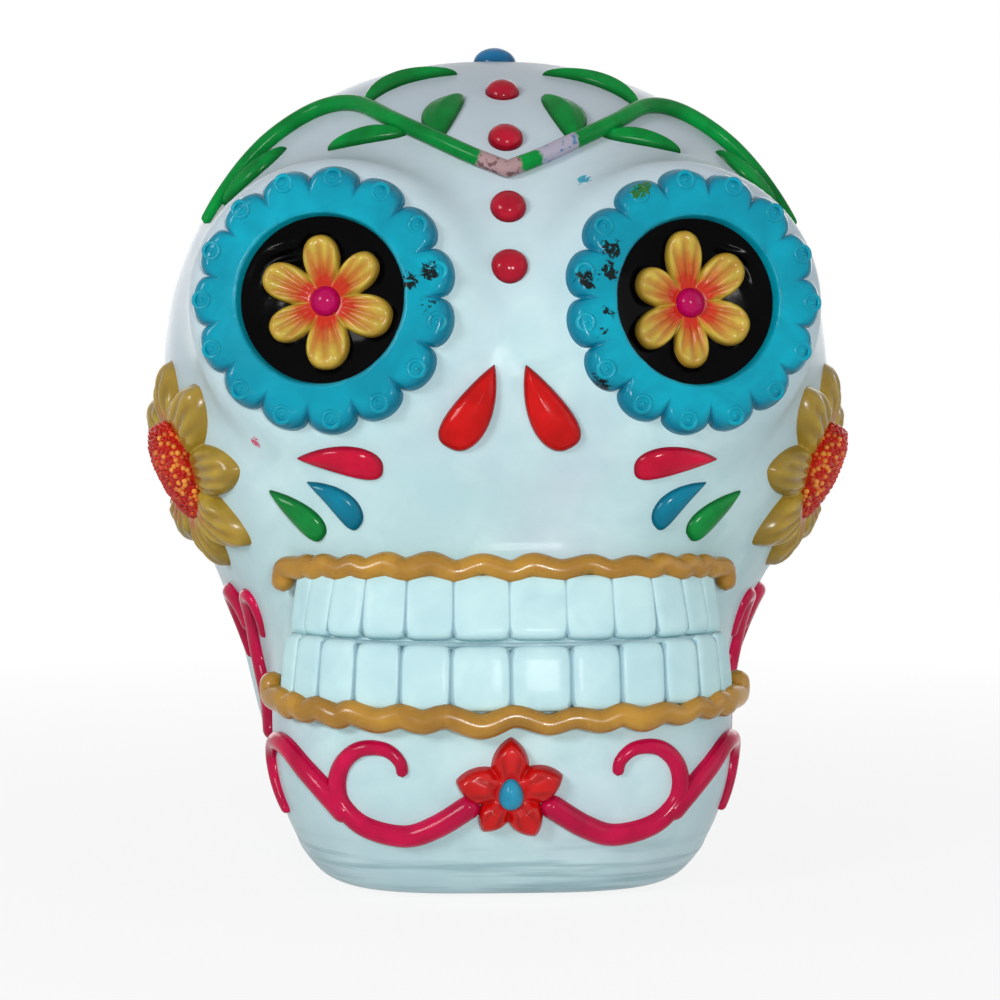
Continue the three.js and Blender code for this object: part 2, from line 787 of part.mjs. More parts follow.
// The blue and green petals lie side by side, the green one outside and a little further along.
const pairAcross = (BLUE_WIDTH + GREEN_WIDTH) / 2 + PETAL_CLEARANCE;
const pairX = pairAcross * Math.sin(PETAL_TILT) + GREEN_SHIFT * Math.cos(PETAL_TILT);
const pairZ = pairAcross * Math.cos(PETAL_TILT) - GREEN_SHIFT * Math.sin(PETAL_TILT);

function bluePetal() {
  const place = facePlace(eyeX - BLUE_INSET, lowPetalsZ + pairZ / 2, PETAL_TILT);
  return cheekPetal(place, BLUE_LENGTH, BLUE_WIDTH, BLUE_BEND);
}

function greenPetal() {
  const place = facePlace(eyeX - BLUE_INSET + pairX, lowPetalsZ - pairZ / 2, PETAL_TILT);
  return cheekPetal(place, GREEN_LENGTH, GREEN_WIDTH, GREEN_BEND);
}

// Mouth

// Tooth edges from the left corner of the mouth to the right one.
function toothEdges() {
  const edges = [0];
  for (const width of TOOTH_WIDTHS) {
    edges.push(edges[edges.length - 1] + width);
  }
  return [...edges.slice(1).reverse().map((edge) => -edge), ...edges];
}

const edges = toothEdges();

// One row of teeth: each swells between the grooves beside it.
function teeth(bottomZ, height) {
  const columns = (edges.length - 1) * TOOTH_COLUMNS;
  return moveVertices(new THREE.BoxGeometry(1, 1, 1, columns, TOOTH_ROWS, 1), (vertex) => {
    const column = Math.round((vertex.x + 0.5) * columns);
    const tooth = Math.min(Math.floor(column / TOOTH_COLUMNS), edges.length - 2);
    const share = column / TOOTH_COLUMNS - tooth;
    const distance = THREE.MathUtils.lerp(edges[tooth], edges[tooth + 1], share);
    const groove = column % TOOTH_COLUMNS === 0 ? TOOTH_GROOVE : 0;
    const shoulder = Math.abs(vertex.y) * TOOTH_GROOVE;
    const raised = vertex.z > 0 ? TOOTH_BULGE - groove - shoulder : 0;
    const z = mouthHeight(bottomZ + (vertex.y + 0.5) * height, distance);
    return onJaw(distance, z, GAP + raised);
  });
}

// A wavy gold cord that swells away from each tooth, up or down, and hooks round each corner of the mouth.
const HOOK_STEPS = 3;
const TRIM_END_RUN = 0.05;

function trimHook(z, swell) {
  const points = [];
  for (let i = 1; i <= HOOK_STEPS; i += 1) {
    const turn = i / HOOK_STEPS * Math.PI / 2;
    const rise = -swell * TRIM_HOOK * (1 - Math.cos(turn));
    points.push(new THREE.Vector3(mouthEnd + TRIM_HOOK * Math.sin(turn), mouthHeight(z, mouthEnd) + rise, 0));
  }
  return points;
}

function trim(z, swell) {
  const hook = trimHook(z, swell);
  const route = hook.map((point) => new THREE.Vector3(-point.x, point.y, 0)).reverse();
  edges.forEach((edge, i) => {
    route.push(new THREE.Vector3(edge, mouthHeight(z, edge) - swell * TRIM_WAVE, 0));
    if (i + 1 < edges.length) {
      const middle = (edge + edges[i + 1]) / 2;
      route.push(new THREE.Vector3(middle, mouthHeight(z, middle) + swell * TRIM_WAVE, 0));
    }
  });
  route.push(...hook);
  const curve = new THREE.CatmullRomCurve3(route);
  const points = curve.getPoints(2 * (route.length - 1)).map((point) => onJaw(point.x, point.y, GAP));
  return cord(points, {
    widthAt: narrowEnds(TRIM_WIDTH, TRIM_END_WIDTH, TRIM_END_RUN),
    width: TRIM_WIDTH,
    height: TRIM_HEIGHT,
  });
}

// Chin and jaw

function jawPlace(distance, z) {
  const point = onJaw(distance, z, 0);
  return makePlace(point, normalAt(point), upward);
}

const chin = jawPlace(0, chinZ);
const chinCoreHeight = CHIN_FLOWER_HEIGHT / 2;

function chinFlower() {
  return flower(chin, {
    petals: CHIN_PETAL_COUNT,
    fall: STAR_PETAL,
    valley: CHIN_FLOWER_VALLEY,
    radius: CHIN_FLOWER_RADIUS,
    core: CHIN_BEAD_RADIUS + GAP,
    height: CHIN_FLOWER_HEIGHT,
    coreHeight: chinCoreHeight,
    ground: groundUnder(chin),
  });
}

function chinBead() {
  return bead(chin, CHIN_BEAD_RADIUS, CHIN_BEAD_HEIGHT, groundUnder(chin, GAP + chinCoreHeight + GAP));
}

// Strokes of a scroll in shares of its length and height, narrowing to their tips.
const CURL_STROKE = [
  [0, 0.4], [0.12, 0.22], [0.24, 0.13], [0.39, 0.21], [0.475, 0.4], [0.49, 0.6],
  [0.46, 0.8], [0.39, 0.93], [0.3, 0.93], [0.245, 0.82], [0.235, 0.68],
];
const TAIL_STROKE = [
  [0.445, 0.27], [0.52, 0.47], [0.62, 0.68], [0.75, 0.88], [0.885, 0.9],
  [0.97, 0.76], [0.96, 0.54], [0.905, 0.34], [0.855, 0.22],
];
const SIDE_STEM = [
  [0.16, 0.04], [0.26, 0.2], [0.46, 0.38], [0.52, 0.58], [0.42, 0.76],
  [0.26, 0.92], [0.1, 0.92], [0.06, 0.8], [0.12, 0.68],
];
const SIDE_CURL = [
  [0.47, 0.7], [0.56, 0.86], [0.72, 0.94], [0.88, 0.84], [0.94, 0.66], [0.92, 0.5],
];

function scroll(strokes, { start, bottomZ, length, height }) {
  const strands = strokes.map((stroke) => {
    const curve = new THREE.CatmullRomCurve3(stroke.map(([along, up]) => new THREE.Vector3(
      start + along * length,
      bottomZ + up * height,
      0,
    )));
    const points = curve.getSpacedPoints(2 * stroke.length).map((point) => onJaw(point.x, point.y, GAP));
    return cord(points, {
      widthAt: (share) => THREE.MathUtils.lerp(SCROLL_WIDTH, SCROLL_TIP_WIDTH, share * share),
      width: SCROLL_WIDTH,
      height: SCROLL_RAISE,
    });
  });
  return joined(strands);
}

// A scroll's root tucks in between two petals of the chin flower.
const scrollStart = CHIN_FLOWER_RADIUS - SCROLL_TUCK;

function jawScroll() {
  return scroll([CURL_STROKE, TAIL_STROKE], {
    start: scrollStart,
    bottomZ: BASE_BAND,
    length: SCROLL_LENGTH,
    height: SCROLL_HEIGHT,
  });
}

// Temple flowers

// Each flower clears the corner of the mouth, up and back along its bearing.
const templeReach = TEMPLE_CLEARANCE + TEMPLE_RADIUS;
const temple = jawPlace(
  mouthCorner + templeReach * Math.cos(TEMPLE_BEARING),
  upperTrimZ + templeReach * Math.sin(TEMPLE_BEARING),
);
const templeCoreHeight = TEMPLE_HEIGHT / 2;

function templeFlower() {
  return flower(temple, {
    petals: TEMPLE_PETAL_COUNT,
    fall: POINTED_PETAL,
    valley: TEMPLE_FLOWER_VALLEY,
    radius: TEMPLE_RADIUS,
    core: SEED_RADIUS + GAP,
    height: TEMPLE_HEIGHT,
    coreHeight: templeCoreHeight,
    ground: groundUnder(temple, WIDE_GAP),
  });
}

function seedHead() {
  return bead(temple, SEED_RADIUS, SEED_HEIGHT, groundUnder(temple, WIDE_GAP + templeCoreHeight + GAP));
}

function sideScroll() {
  const top = temple.origin.z - TEMPLE_RADIUS - JAW_CLEARANCE;
  return scroll([SIDE_STEM, SIDE_CURL], {
    start: Math.max(mouthCorner, scrollStart + SCROLL_LENGTH) + SIDE_SCROLL_CLEARANCE,
    bottomZ: top - SIDE_SCROLL_HEIGHT,
    length: SIDE_SCROLL_LENGTH,
    height: SIDE_SCROLL_HEIGHT,
  });
}

// Forehead: beads and the vine's turning point follow each other up the midline.

const beadRise = [BEAD_START];
beadRise.push(beadRise[0] + 2 * BEAD_RADIUS + LOWER_BEAD_GAP);
const vineRise = beadRise[1] + BEAD_RADIUS + VINE_CLEARANCE + VINE_WIDTH;
beadRise.push(vineRise + VINE_WIDTH + VINE_HEADROOM + BEAD_RADIUS);
beadRise.push(beadRise[2] + 2 * BEAD_RADIUS + UPPER_BEAD_GAP);
const crownRise = beadRise[3] + BEAD_RADIUS + CROWN_BEAD_GAP + CROWN_BEAD_RADIUS;

function midlineBead(rise, radius, height) {
  const point = onMidline(rise);
  return bead(makePlace(point, normalAt(point), backward), radius, height);
}

// Right half of the stem, from the turning point outwards, clear of the surface.
function vineHalf() {
  const route = VINE_ROUTE.map(([bearing, clear]) => (
    aroundEye(THREE.MathUtils.degToRad(bearing), rosetteRadius + clear)
  ));
  const curve = new THREE.CatmullRomCurve3([onMidline(vineRise), ...route]);
  return curve.getSpacedPoints(STEM_STEPS).map((point) => fromHead(point.sub(headCentre).normalize(), GAP));
}

const stem = vineHalf();
const VINE_TIP_RUN = 0.125;

function vine() {
  const left = stem.slice(1).reverse().map((point) => new THREE.Vector3(-point.x, point.y, point.z));
  return cord([...left, ...stem], {
    widthAt: narrowEnds(VINE_WIDTH, VINE_TIP_WIDTH, VINE_TIP_RUN),
    width: VINE_WIDTH,
    height: VINE_HEIGHT,
  });
}

function leaf({ at, away, spread, length, width, bend }) {
  const step = Math.round(at * (stem.length - 1));
  const root = stem[step];
  const out = normalAt(root);
  const along = stem[step + 1].clone().sub(stem[step - 1]).normalize();
  const side = new THREE.Vector3().crossVectors(out, along).multiplyScalar(away);
  const angle = THREE.MathUtils.degToRad(spread);
  const axis = new THREE.Vector3()
    .addScaledVector(along, Math.cos(angle))
    .addScaledVector(side, Math.sin(angle));
  const clear = VINE_WIDTH / 2 + LEAF_CLEARANCE + Math.abs(Math.cos(angle)) * width / 4;
  const middle = root.clone().addScaledVector(side, clear).addScaledVector(axis, length / 2);
  const point = fromHead(middle.sub(headCentre).normalize(), 0);
  const normal = normalAt(point);
  const up = new THREE.Vector3().crossVectors(normal, axis).normalize();
  const place = makePlace(point, normal, up);
  return drop(place, { outline: blade, length, width, height: LEAF_HEIGHT, bend: bend * away });
}

// Finishes: varnished paint over the white casting

const PAINT = {
  white: '#dfe8ea',
  turquoise: '#0a9bbb',
  black: '#060606',
  ochre: '#d8a83c',
  magenta: '#c4005c',
  red: '#cc0a0a',
  crimson: '#c8103c',
  blue: '#0e84a8',
  green: '#0b8a3a',
  gold: '#b9822a',
  scroll: '#cc0a46',
  skyBlue: '#2f9fc4',
  vine: '#0a7a33',
  crown: '#1a72b8',
  bead: '#b8102c',
  seed: '#d0301a',
};

const groups = {
  casting: new THREE.Group(),
  eyes: new THREE.Group(),
  face: new THREE.Group(),
  mouth: new THREE.Group(),
  jaw: new THREE.Group(),
  temples: new THREE.Group(),
  forehead: new THREE.Group(),
};

function add(group, name, geometry, color) {
  const material = new THREE.MeshStandardMaterial({ color, roughness: 0.3, metalness: 0 });
  const mesh = new THREE.Mesh(geometry, material);
  mesh.name = name;
  groups[group].add(mesh);
}

function addPair(group, name, geometry, color) {
  add(group, `${name}_right`, geometry, color);
  add(group, `${name}_left`, mirrored(geometry), color);
}

add('casting', 'skull_shell', skullShell(), PAINT.white);

addPair('eyes', 'eye_rosette', eyeRosette(), PAINT.turquoise);
addPair('eyes', 'eye_dish', eyeDish(), PAINT.black);
addPair('eyes', 'eye_flower', eyeFlower(), PAINT.ochre);
addPair('eyes', 'eye_bead', eyeBead(), PAINT.magenta);

addPair('face', 'nose_drop', noseDrop(), PAINT.red);
addPair('face', 'cheek_petal_crimson', crimsonPetal(), PAINT.crimson);
addPair('face', 'cheek_petal_blue', bluePetal(), PAINT.blue);
addPair('face', 'cheek_petal_green', greenPetal(), PAINT.green);

add('mouth', 'upper_teeth', teeth(upperTeethZ, UPPER_TOOTH_HEIGHT), PAINT.white);
add('mouth', 'lower_teeth', teeth(lowerTeethZ, LOWER_TOOTH_HEIGHT), PAINT.white);
add('mouth', 'upper_trim', trim(upperTrimZ, 1), PAINT.gold);
add('mouth', 'lower_trim', trim(lowerTrimZ, -1), PAINT.gold);

add('jaw', 'chin_flower', chinFlower(), PAINT.red);
add('jaw', 'chin_bead', chinBead(), PAINT.skyBlue);
addPair('jaw', 'jaw_scroll', jawScroll(), PAINT.scroll);
addPair('jaw', 'side_scroll', sideScroll(), PAINT.scroll);

addPair('temples', 'temple_flower', templeFlower(), PAINT.ochre);
addPair('temples', 'temple_seed_head', seedHead(), PAINT.seed);

add('forehead', 'vine', vine(), PAINT.vine);
LEAVES.forEach((blade) => addPair('forehead', `leaf_${blade.name}`, leaf(blade), PAINT.vine));
beadRise.forEach((rise, i) => {
  add('forehead', `forehead_bead_${i + 1}`, midlineBead(rise, BEAD_RADIUS, BEAD_HEIGHT), PAINT.bead);
});
add('forehead', 'crown_bead', midlineBead(crownRise, CROWN_BEAD_RADIUS, CROWN_BEAD_HEIGHT), PAINT.crown);

// The origin is under the middle of the whole skull, on the surface that it stands on.
const sugarSkull = new THREE.Group();
sugarSkull.add(...Object.values(groups));
const bounds = new THREE.Box3().setFromObject(sugarSkull);
const middle = bounds.getCenter(new THREE.Vector3());
sugarSkull.position.set(-middle.x, -middle.y, -bounds.min.z);

export default sugarSkull;
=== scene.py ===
"""Sugar skull: a hand-painted, varnished resin casting with raised ornaments."""
import math
from functools import partial
from types import SimpleNamespace

import bpy
import numpy as np
from mathutils import Matrix, Vector


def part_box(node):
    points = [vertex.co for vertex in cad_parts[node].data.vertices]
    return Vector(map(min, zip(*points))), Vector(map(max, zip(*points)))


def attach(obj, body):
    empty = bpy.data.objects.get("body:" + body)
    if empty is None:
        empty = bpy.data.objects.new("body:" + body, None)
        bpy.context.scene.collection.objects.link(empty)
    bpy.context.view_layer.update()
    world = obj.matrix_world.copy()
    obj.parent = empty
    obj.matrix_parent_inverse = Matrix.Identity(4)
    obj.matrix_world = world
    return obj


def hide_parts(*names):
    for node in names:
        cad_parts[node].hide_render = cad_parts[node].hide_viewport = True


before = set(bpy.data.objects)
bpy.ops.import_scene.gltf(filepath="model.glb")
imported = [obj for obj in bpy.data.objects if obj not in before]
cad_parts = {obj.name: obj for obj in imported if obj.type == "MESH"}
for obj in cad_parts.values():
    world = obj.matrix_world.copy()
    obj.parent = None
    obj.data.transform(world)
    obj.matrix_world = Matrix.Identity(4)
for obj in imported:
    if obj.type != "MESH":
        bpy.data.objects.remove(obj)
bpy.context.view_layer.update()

# Sizes in millimetres, as in the solids
MM = 0.001
GAP = 0.3

# Form of the casting: half sizes, centre, and the powers that square a block's plan and rise
CRANIUM = {"half": (66.5, 71.4, 65.6), "centre": (0, 6.3, 94), "plan": 2.7, "rise": 2.05}
NAPE = {"half": (52.5, 40, 62), "centre": (0, 16.8, 55), "plan": 2.3, "rise": 2.3}
MUZZLE = {"half": (43, 44, 38.5), "centre": (0, -23, 30), "plan": 3.4, "rise": 2.5}
FORM_BLEND = 14
WALL = 7
POUR_HOLE_RADIUS = 15
BASE_ROUND = 0.7
BASE_LEDGE_HEIGHT = 7.5
BASE_LEDGE_DEPTH = 0.35
# Unevenness left by finishing the casting by hand
HAND_WAVE = 0.1

# Eyes
EYE_TURN = math.radians(9)
SEAT_PROUD = 1.5
SEAT_MARGIN = 2
SEAT_ROUND = 6
SEAT_DEPTH = 30
SEAT_BLEND = 8
BROW_GAP = 17
ROSETTE_WIDTH = 8.4
ROSETTE_HEIGHT = 3.2
SCALLOP_COUNT = 15
SCALLOP_DEPTH = 2.8
DISH_RADIUS = 14.8
DISH_DEPTH = 4
DISH_RIM = 0.6
DISH_THICKNESS = 1.2
EYE_FLOWER_MARGIN = 3
EYE_FLOWER_HEIGHT = 2.4
EYE_FLOWER_TURN = math.radians(6)
EYE_FLOWER_VALLEY = 0.5
EYE_BEAD_RADIUS = 2.7
EYE_BEAD_HEIGHT = 2.4

# Nose and cheeks
NOSE = {"length": 16.5, "width": 7.4, "height": 2.6, "bend": 0.7}
NOSE_GAP = 6
NOSE_BELOW_EYES = 18.5
NOSE_TILT = math.radians(29)
CRIMSON = {"length": 15.5, "width": 5.8, "height": 1.8, "bend": 1.1}
CRIMSON_INSET = 2.5
CRIMSON_TILT = math.radians(8)
BLUE = {"length": 12.2, "width": 4.8, "height": 1.8, "bend": 1.2}
BLUE_INSET = 1.4
GREEN = {"length": 13, "width": 5, "height": 1.8, "bend": 0.4}
GREEN_SHIFT = 3.7
PETAL_TILT = math.radians(43)
PETAL_CLEARANCE = 0.9
LOW_PETAL_CLEARANCE = 2.1
PETAL_NEST = 1.5
EYE_CLEARANCE = 1.6

# Mouth
TOOTH_WIDTHS = (10, 8.2, 7.4, 6.2, 5, 3.7)
UPPER_TOOTH_HEIGHT = 9.5
LOWER_TOOTH_HEIGHT = 9.4
TOOTH_BULGE = 3
BITE_GAP = 0.9
MOUTH_RISE = 2.6
TRIM_WIDTH = 4.2
TRIM_HEIGHT = 4.2
TRIM_WAVE = 0.45
TRIM_CLEARANCE = 0.5
TRIM_HOOK = 2.6

# Jaw and temples
BASE_BAND = 9.8
JAW_CLEARANCE = 0.6
CHIN_RAISE = 1.2
CHIN_FLOWER_RADIUS = 9.2
CHIN_FLOWER_HEIGHT = 2.8
CHIN_FLOWER_VALLEY = 0.6
CHIN_BEAD_RADIUS = 2.5
CHIN_BEAD_HEIGHT = 2.2
SCROLL_TUCK = 1.9
SCROLL_LENGTH = 45.7
SCROLL_HEIGHT = 19
SCROLL_WIDTH = 4.2
SCROLL_TIP_WIDTH = 2
SCROLL_RAISE = 2.4
SIDE_SCROLL_LENGTH = 27
SIDE_SCROLL_HEIGHT = 31
SIDE_SCROLL_CLEARANCE = 12
TEMPLE_RADIUS = 21.5
TEMPLE_HEIGHT = 3.4
TEMPLE_CLEARANCE = 8
TEMPLE_BEARING = math.radians(37)
TEMPLE_FLOWER_VALLEY = 0.6
SEED_HEAD_RADIUS = 9.5
SEED_HEAD_HEIGHT = 3.6

# Forehead
BEAD_RADIUS = 3.2
BEAD_HEIGHT = 2.4
BEAD_START = 6
LOWER_BEAD_GAP = 5.3
UPPER_BEAD_GAP = 9.6
CROWN_BEAD_GAP = 26.2
CROWN_BEAD_RADIUS = 4.4
CROWN_BEAD_HEIGHT = 3
VINE_WIDTH = 3
VINE_HEIGHT = 2.8
VINE_TIP_WIDTH = 2
VINE_CLEARANCE = 1.2
VINE_HEADROOM = 2.8
# Bearing round the eye in degrees, and clear distance outside the rosette
VINE_ROUTE = ((124, 15.6), (108, 15.4), (95, 18), (82, 24.5), (72, 27), (61, 25.5),
              (50, 22.5), (39, 19.5), (30, 17.5))
LEAF_HEIGHT = 2
LEAF_CLEARANCE = 0.4
LEAVES = (
    {"name": "broad", "at": 0.2, "away": 1, "spread": 70, "length": 13.5, "width": 6.4, "bend": -2},
    {"name": "crescent", "at": 0.46, "away": 1, "spread": 95, "length": 20, "width": 4.4, "bend": -5},
    {"name": "brow", "at": 0.3, "away": -1, "spread": 50, "length": 12.5, "width": 4.4, "bend": -1.5},
    {"name": "tail", "at": 0.93, "away": -1, "spread": 155, "length": 14, "width": 4.4, "bend": -1},
)
STEM_STEPS = 24

# Places worked out from the sizes, from the base upwards
rosette_inner = DISH_RADIUS + GAP
rosette_radius = rosette_inner + ROSETTE_WIDTH
eye_x = rosette_radius + BROW_GAP / 2
trim_reach = TRIM_WIDTH / 2 + TRIM_WAVE
jaw_row = max(SCROLL_HEIGHT, CHIN_RAISE + 2 * CHIN_FLOWER_RADIUS)
chin_z = BASE_BAND + CHIN_RAISE + CHIN_FLOWER_RADIUS
lower_trim_z = BASE_BAND + jaw_row + JAW_CLEARANCE + trim_reach
lower_teeth_z = lower_trim_z + trim_reach + TRIM_CLEARANCE
bite_z = lower_teeth_z + LOWER_TOOTH_HEIGHT + BITE_GAP / 2
upper_teeth_z = bite_z + BITE_GAP / 2
upper_trim_z = upper_teeth_z + UPPER_TOOTH_HEIGHT + TRIM_CLEARANCE + trim_reach
low_petals = GREEN["length"] * math.sin(PETAL_TILT) + GREEN["width"] / 2
low_petals_z = upper_trim_z + trim_reach + LOW_PETAL_CLEARANCE + low_petals / 2
high_petal = CRIMSON["width"] + CRIMSON["length"] * math.sin(CRIMSON_TILT) / 2
high_petal_z = low_petals_z + low_petals / 2 - PETAL_NEST + high_petal / 2
eye_z = high_petal_z + high_petal / 2 + EYE_CLEARANCE + rosette_radius
half_mouth = sum(TOOTH_WIDTHS)
mouth_end = half_mouth + TRIM_CLEARANCE + TRIM_WIDTH / 2
mouth_corner = mouth_end + TRIM_HOOK + TRIM_WIDTH / 2
scroll_start = CHIN_FLOWER_RADIUS - SCROLL_TUCK
dish_floor = DISH_RIM - DISH_DEPTH - DISH_THICKNESS

# The form's own axis stands a little in front of the frame's origin
cranium_back = CRANIUM["centre"][1] + CRANIUM["half"][1]
FORM_SHIFT = np.array((0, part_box("skull_shell")[1].y / MM - cranium_back, 0))


def to_frame(points):
    """Points of the form, in the frame's metres."""
    return (points + FORM_SHIFT) * MM


# Form of the skull, as a distance that is negative inside it

def block_distance(block, p):
    half = np.array(block["half"])
    plan, rise = block["plan"], block["rise"]
    x, y, z = np.moveaxis(np.abs(p - np.array(block["centre"])) / half, -1, 0)
    level = np.maximum((x**plan + y**plan) ** (1 / plan), 1e-9)
    size = (level**rise + z**rise) ** (1 / rise)
    level_slope = (level / size) ** (rise - 1)
    slope_x = level_slope * (x / level) ** (plan - 1) / half[0]
    slope_y = level_slope * (y / level) ** (plan - 1) / half[1]
    slope_z = (z / size) ** (rise - 1) / half[2]
    return (size - 1) / np.sqrt(slope_x**2 + slope_y**2 + slope_z**2)


def soft_join(a, b, reach):
    overlap = np.maximum(reach - np.abs(a - b), 0) / reach
    return np.minimum(a, b) - overlap * overlap * reach / 4


def bare_skull(p):
    head = soft_join(block_distance(CRANIUM, p), block_distance(NAPE, p), FORM_BLEND)
    return soft_join(head, block_distance(MUZZLE, p), FORM_BLEND)


def unit(v):
    return v / np.linalg.norm(v, axis=-1, keepdims=True)


def halve(holds, low, high, steps):
    """Closes in on where a test that holds at low and fails at high changes over."""
    for _ in range(steps):
        middle = (low + high) / 2
        held = holds(middle)
        low = np.where(held, middle, low)
        high = np.where(held, high, middle)
    return low


def cast(field, start, direction, level):
    """Points where rays from inside the form reach the given distance from its surface."""
    shape = np.broadcast_shapes(np.shape(start), np.shape(direction), np.shape(level) + (1,))[:-1]
    reach = 2 * (CRANIUM["half"][1] + CRANIUM["half"][2])
    length = halve(lambda far: field(start + direction * far[..., None]) < level,
                   np.zeros(shape), np.full(shape, reach, float), 40)
    return start + direction * length[..., None]


def travelled(points):
    """Distance along a row of points, from the first to each of them."""
    return np.concatenate([[0], np.cumsum(np.linalg.norm(np.diff(points, axis=0), axis=-1))])


UPWARD = np.array((0.0, 0.0, 1.0))
BACKWARD = np.array((0.0, 1.0, 0.0))
FORWARD = -BACKWARD
head_centre = np.array(CRANIUM["centre"], float)
form_centre = (head_centre + np.array(MUZZLE["centre"])) / 2


def make_place(origin, out, up_hint):
    """A frame to build in: across, up and out from an origin."""
    right = unit(np.cross(up_hint, out))
    return {"origin": origin, "right": right, "up": np.cross(out, right), "out": out}


def point_in(place, a, b, t):
    a, b, t = np.broadcast_arrays(a, b, t)
    return (place["origin"] + a[..., None] * place["right"] + b[..., None] * place["up"]
            + t[..., None] * place["out"])


eye_out = np.array((math.sin(EYE_TURN), -math.cos(EYE_TURN), 0.0))
eye_floor = cast(bare_skull, np.array((eye_x, 0.0, eye_z)), FORWARD, 0)
eye = make_place(eye_floor + eye_out * SEAT_PROUD, eye_out, UPWARD)


def eye_offsets(p):
    """Distance along the nearer eye's axis and aside from it."""
    offset = p * np.array((0.0, 1, 1)) + np.abs(p) * np.array((1.0, 0, 0)) - eye["origin"]
    along = offset @ eye["out"]
    aside = np.linalg.norm(offset - along[..., None] * eye["out"], axis=-1)
    return along, aside


def seat_distance(p):
    along, aside = eye_offsets(p)
    radial = aside - (rosette_radius + SEAT_MARGIN - SEAT_ROUND)
    axial = np.abs(along + SEAT_DEPTH / 2) - (SEAT_DEPTH / 2 - SEAT_ROUND)
    outside = np.hypot(np.maximum(radial, 0), np.maximum(axial, 0))
    return outside + np.minimum(np.maximum(radial, axial), 0) - SEAT_ROUND


def skull(p):
    return soft_join(bare_skull(p), seat_distance(p), SEAT_BLEND)


def normal_at(p):
    step = 0.01
    slopes = [skull(p + axis * step) - skull(p - axis * step) for axis in np.eye(3)]
    return unit(np.stack(slopes, -1))


# Places on the skull

def on_face(x, z):
    return cast(skull, np.array((x, 0.0, z)), FORWARD, 0)


def from_head(direction, level):
    return cast(skull, head_centre, unit(direction), level)


def around_eye(bearing, distance):
    axis = eye["origin"] - head_centre
    angle = distance / np.linalg.norm(axis)
    toward = make_place(head_centre, unit(axis), UPWARD)
    aside = math.sin(angle)
    direction = (toward["right"] * aside * math.cos(bearing) + toward["up"] * aside * math.sin(bearing)
                 + toward["out"] * math.cos(angle))
    return from_head(direction, 0)


def measure_midline():
    """Surface points up the midline from eye level, with the distance travelled to each."""
    start = on_face(0, eye_z) - head_centre
    pitch = math.atan2(start[2], -start[1]) + np.radians(np.arange(0, 140, 0.5))
    points = from_head(np.stack([0 * pitch, -np.cos(pitch), np.sin(pitch)], -1), 0)
    return travelled(points), points


midline_distances, midline_points = measure_midline()


def on_midline(distance):
    return np.array([np.interp(distance, midline_distances, midline_points[:, i]) for i in range(3)])


def level_direction(turn):
    return np.stack([np.sin(turn), -np.cos(turn), 0 * turn], -1)


# Turns round the jaw from the front, with the distance travelled to each at the height of the bite
jaw_turns = np.radians(np.arange(0, 180, 0.5))
jaw_distances = travelled(cast(skull, np.array((0.0, 0.0, bite_z)), level_direction(jaw_turns), 0))


def on_jaw(distance, z, level):
    """Points over the jaw: distance round from the midline, height, and clearance from the surface."""
    distance, z = np.broadcast_arrays(np.asarray(distance, float), np.asarray(z, float))
    turn = np.interp(np.abs(distance), jaw_distances, jaw_turns) * np.sign(distance)
    return cast(skull, np.stack([0 * z, 0 * z, z], -1), level_direction(turn), level)


def mouth_height(z, distance):
    share = (upper_trim_z - z) / (upper_trim_z - lower_trim_z)
    return z + MOUTH_RISE * share * (distance / mouth_end) ** 2


def face_place(x, z, turn):
    point = on_face(x, z)
    level = make_place(point, normal_at(point), UPWARD)
    right = level["right"] * math.cos(turn) + level["up"] * math.sin(turn)
    return {"origin": point, "right": right, "up": np.cross(level["out"], right), "out": level["out"]}


def jaw_place(distance, z):
    point = on_jaw(distance, z, 0)
    return make_place(point, normal_at(point), UPWARD)


temple_reach = TEMPLE_CLEARANCE + TEMPLE_RADIUS
temple = jaw_place(mouth_corner + temple_reach * math.cos(TEMPLE_BEARING),
                   upper_trim_z + temple_reach * math.sin(TEMPLE_BEARING))


def ground_under(place, clearance=0.0):
    """Height of the casting's surface over a place's plane."""
    def ground(a, b):
        height = np.zeros(np.broadcast(a, b).shape)
        for _ in range(40):
            height = height - (skull(point_in(place, a, b, height)) - clearance)
        return height
    return ground


def level_ground(height):
    """A flat ground, at a height over a place's plane."""
    return lambda a, b: np.full(np.broadcast(a, b).shape, height)


# Meshes

# How far a raised piece's foot reaches into the casting, so that no light shows under its edge
FOOT = 0.7
# Points round and rings across a bead and a drop
BEAD_GRID = (48, 14)
DROP_GRID = (72, 16)


def signed_volume(points, faces):
    return sum(np.dot(points[f[0]], np.cross(points[f[i]], points[f[i + 1]]))
               for f in faces for i in range(1, len(f) - 1))


def make_mesh(name, points, faces, **values):
    """A smooth mesh in the frame's metres, facing out, with a value for each point under each name."""
    if signed_volume(points, faces) < 0:
        faces = [face[::-1] for face in faces]
    mesh = bpy.data.meshes.new(name)
    mesh.from_pydata(to_frame(points).tolist(), [], faces)
    mesh.polygons.foreach_set("use_smooth", np.ones(len(mesh.polygons), bool))
    for key, value in values.items():
        attribute = mesh.attributes.new(key, "FLOAT", "POINT")
        attribute.data.foreach_set("value", np.asarray(value, np.float32))
    mesh.update()
    return mesh


def turns_round(sides):
    return np.linspace(0, 2 * np.pi, sides, endpoint=False)


def loop_faces(rows, sides):
    """Quads between closed rows of points."""
    quads = []
    for row in range(0, (rows - 1) * sides, sides):
        for s in range(sides):
            after = (s + 1) % sides
            quads.append((row + s, row + after, row + sides + after, row + sides + s))
    return quads


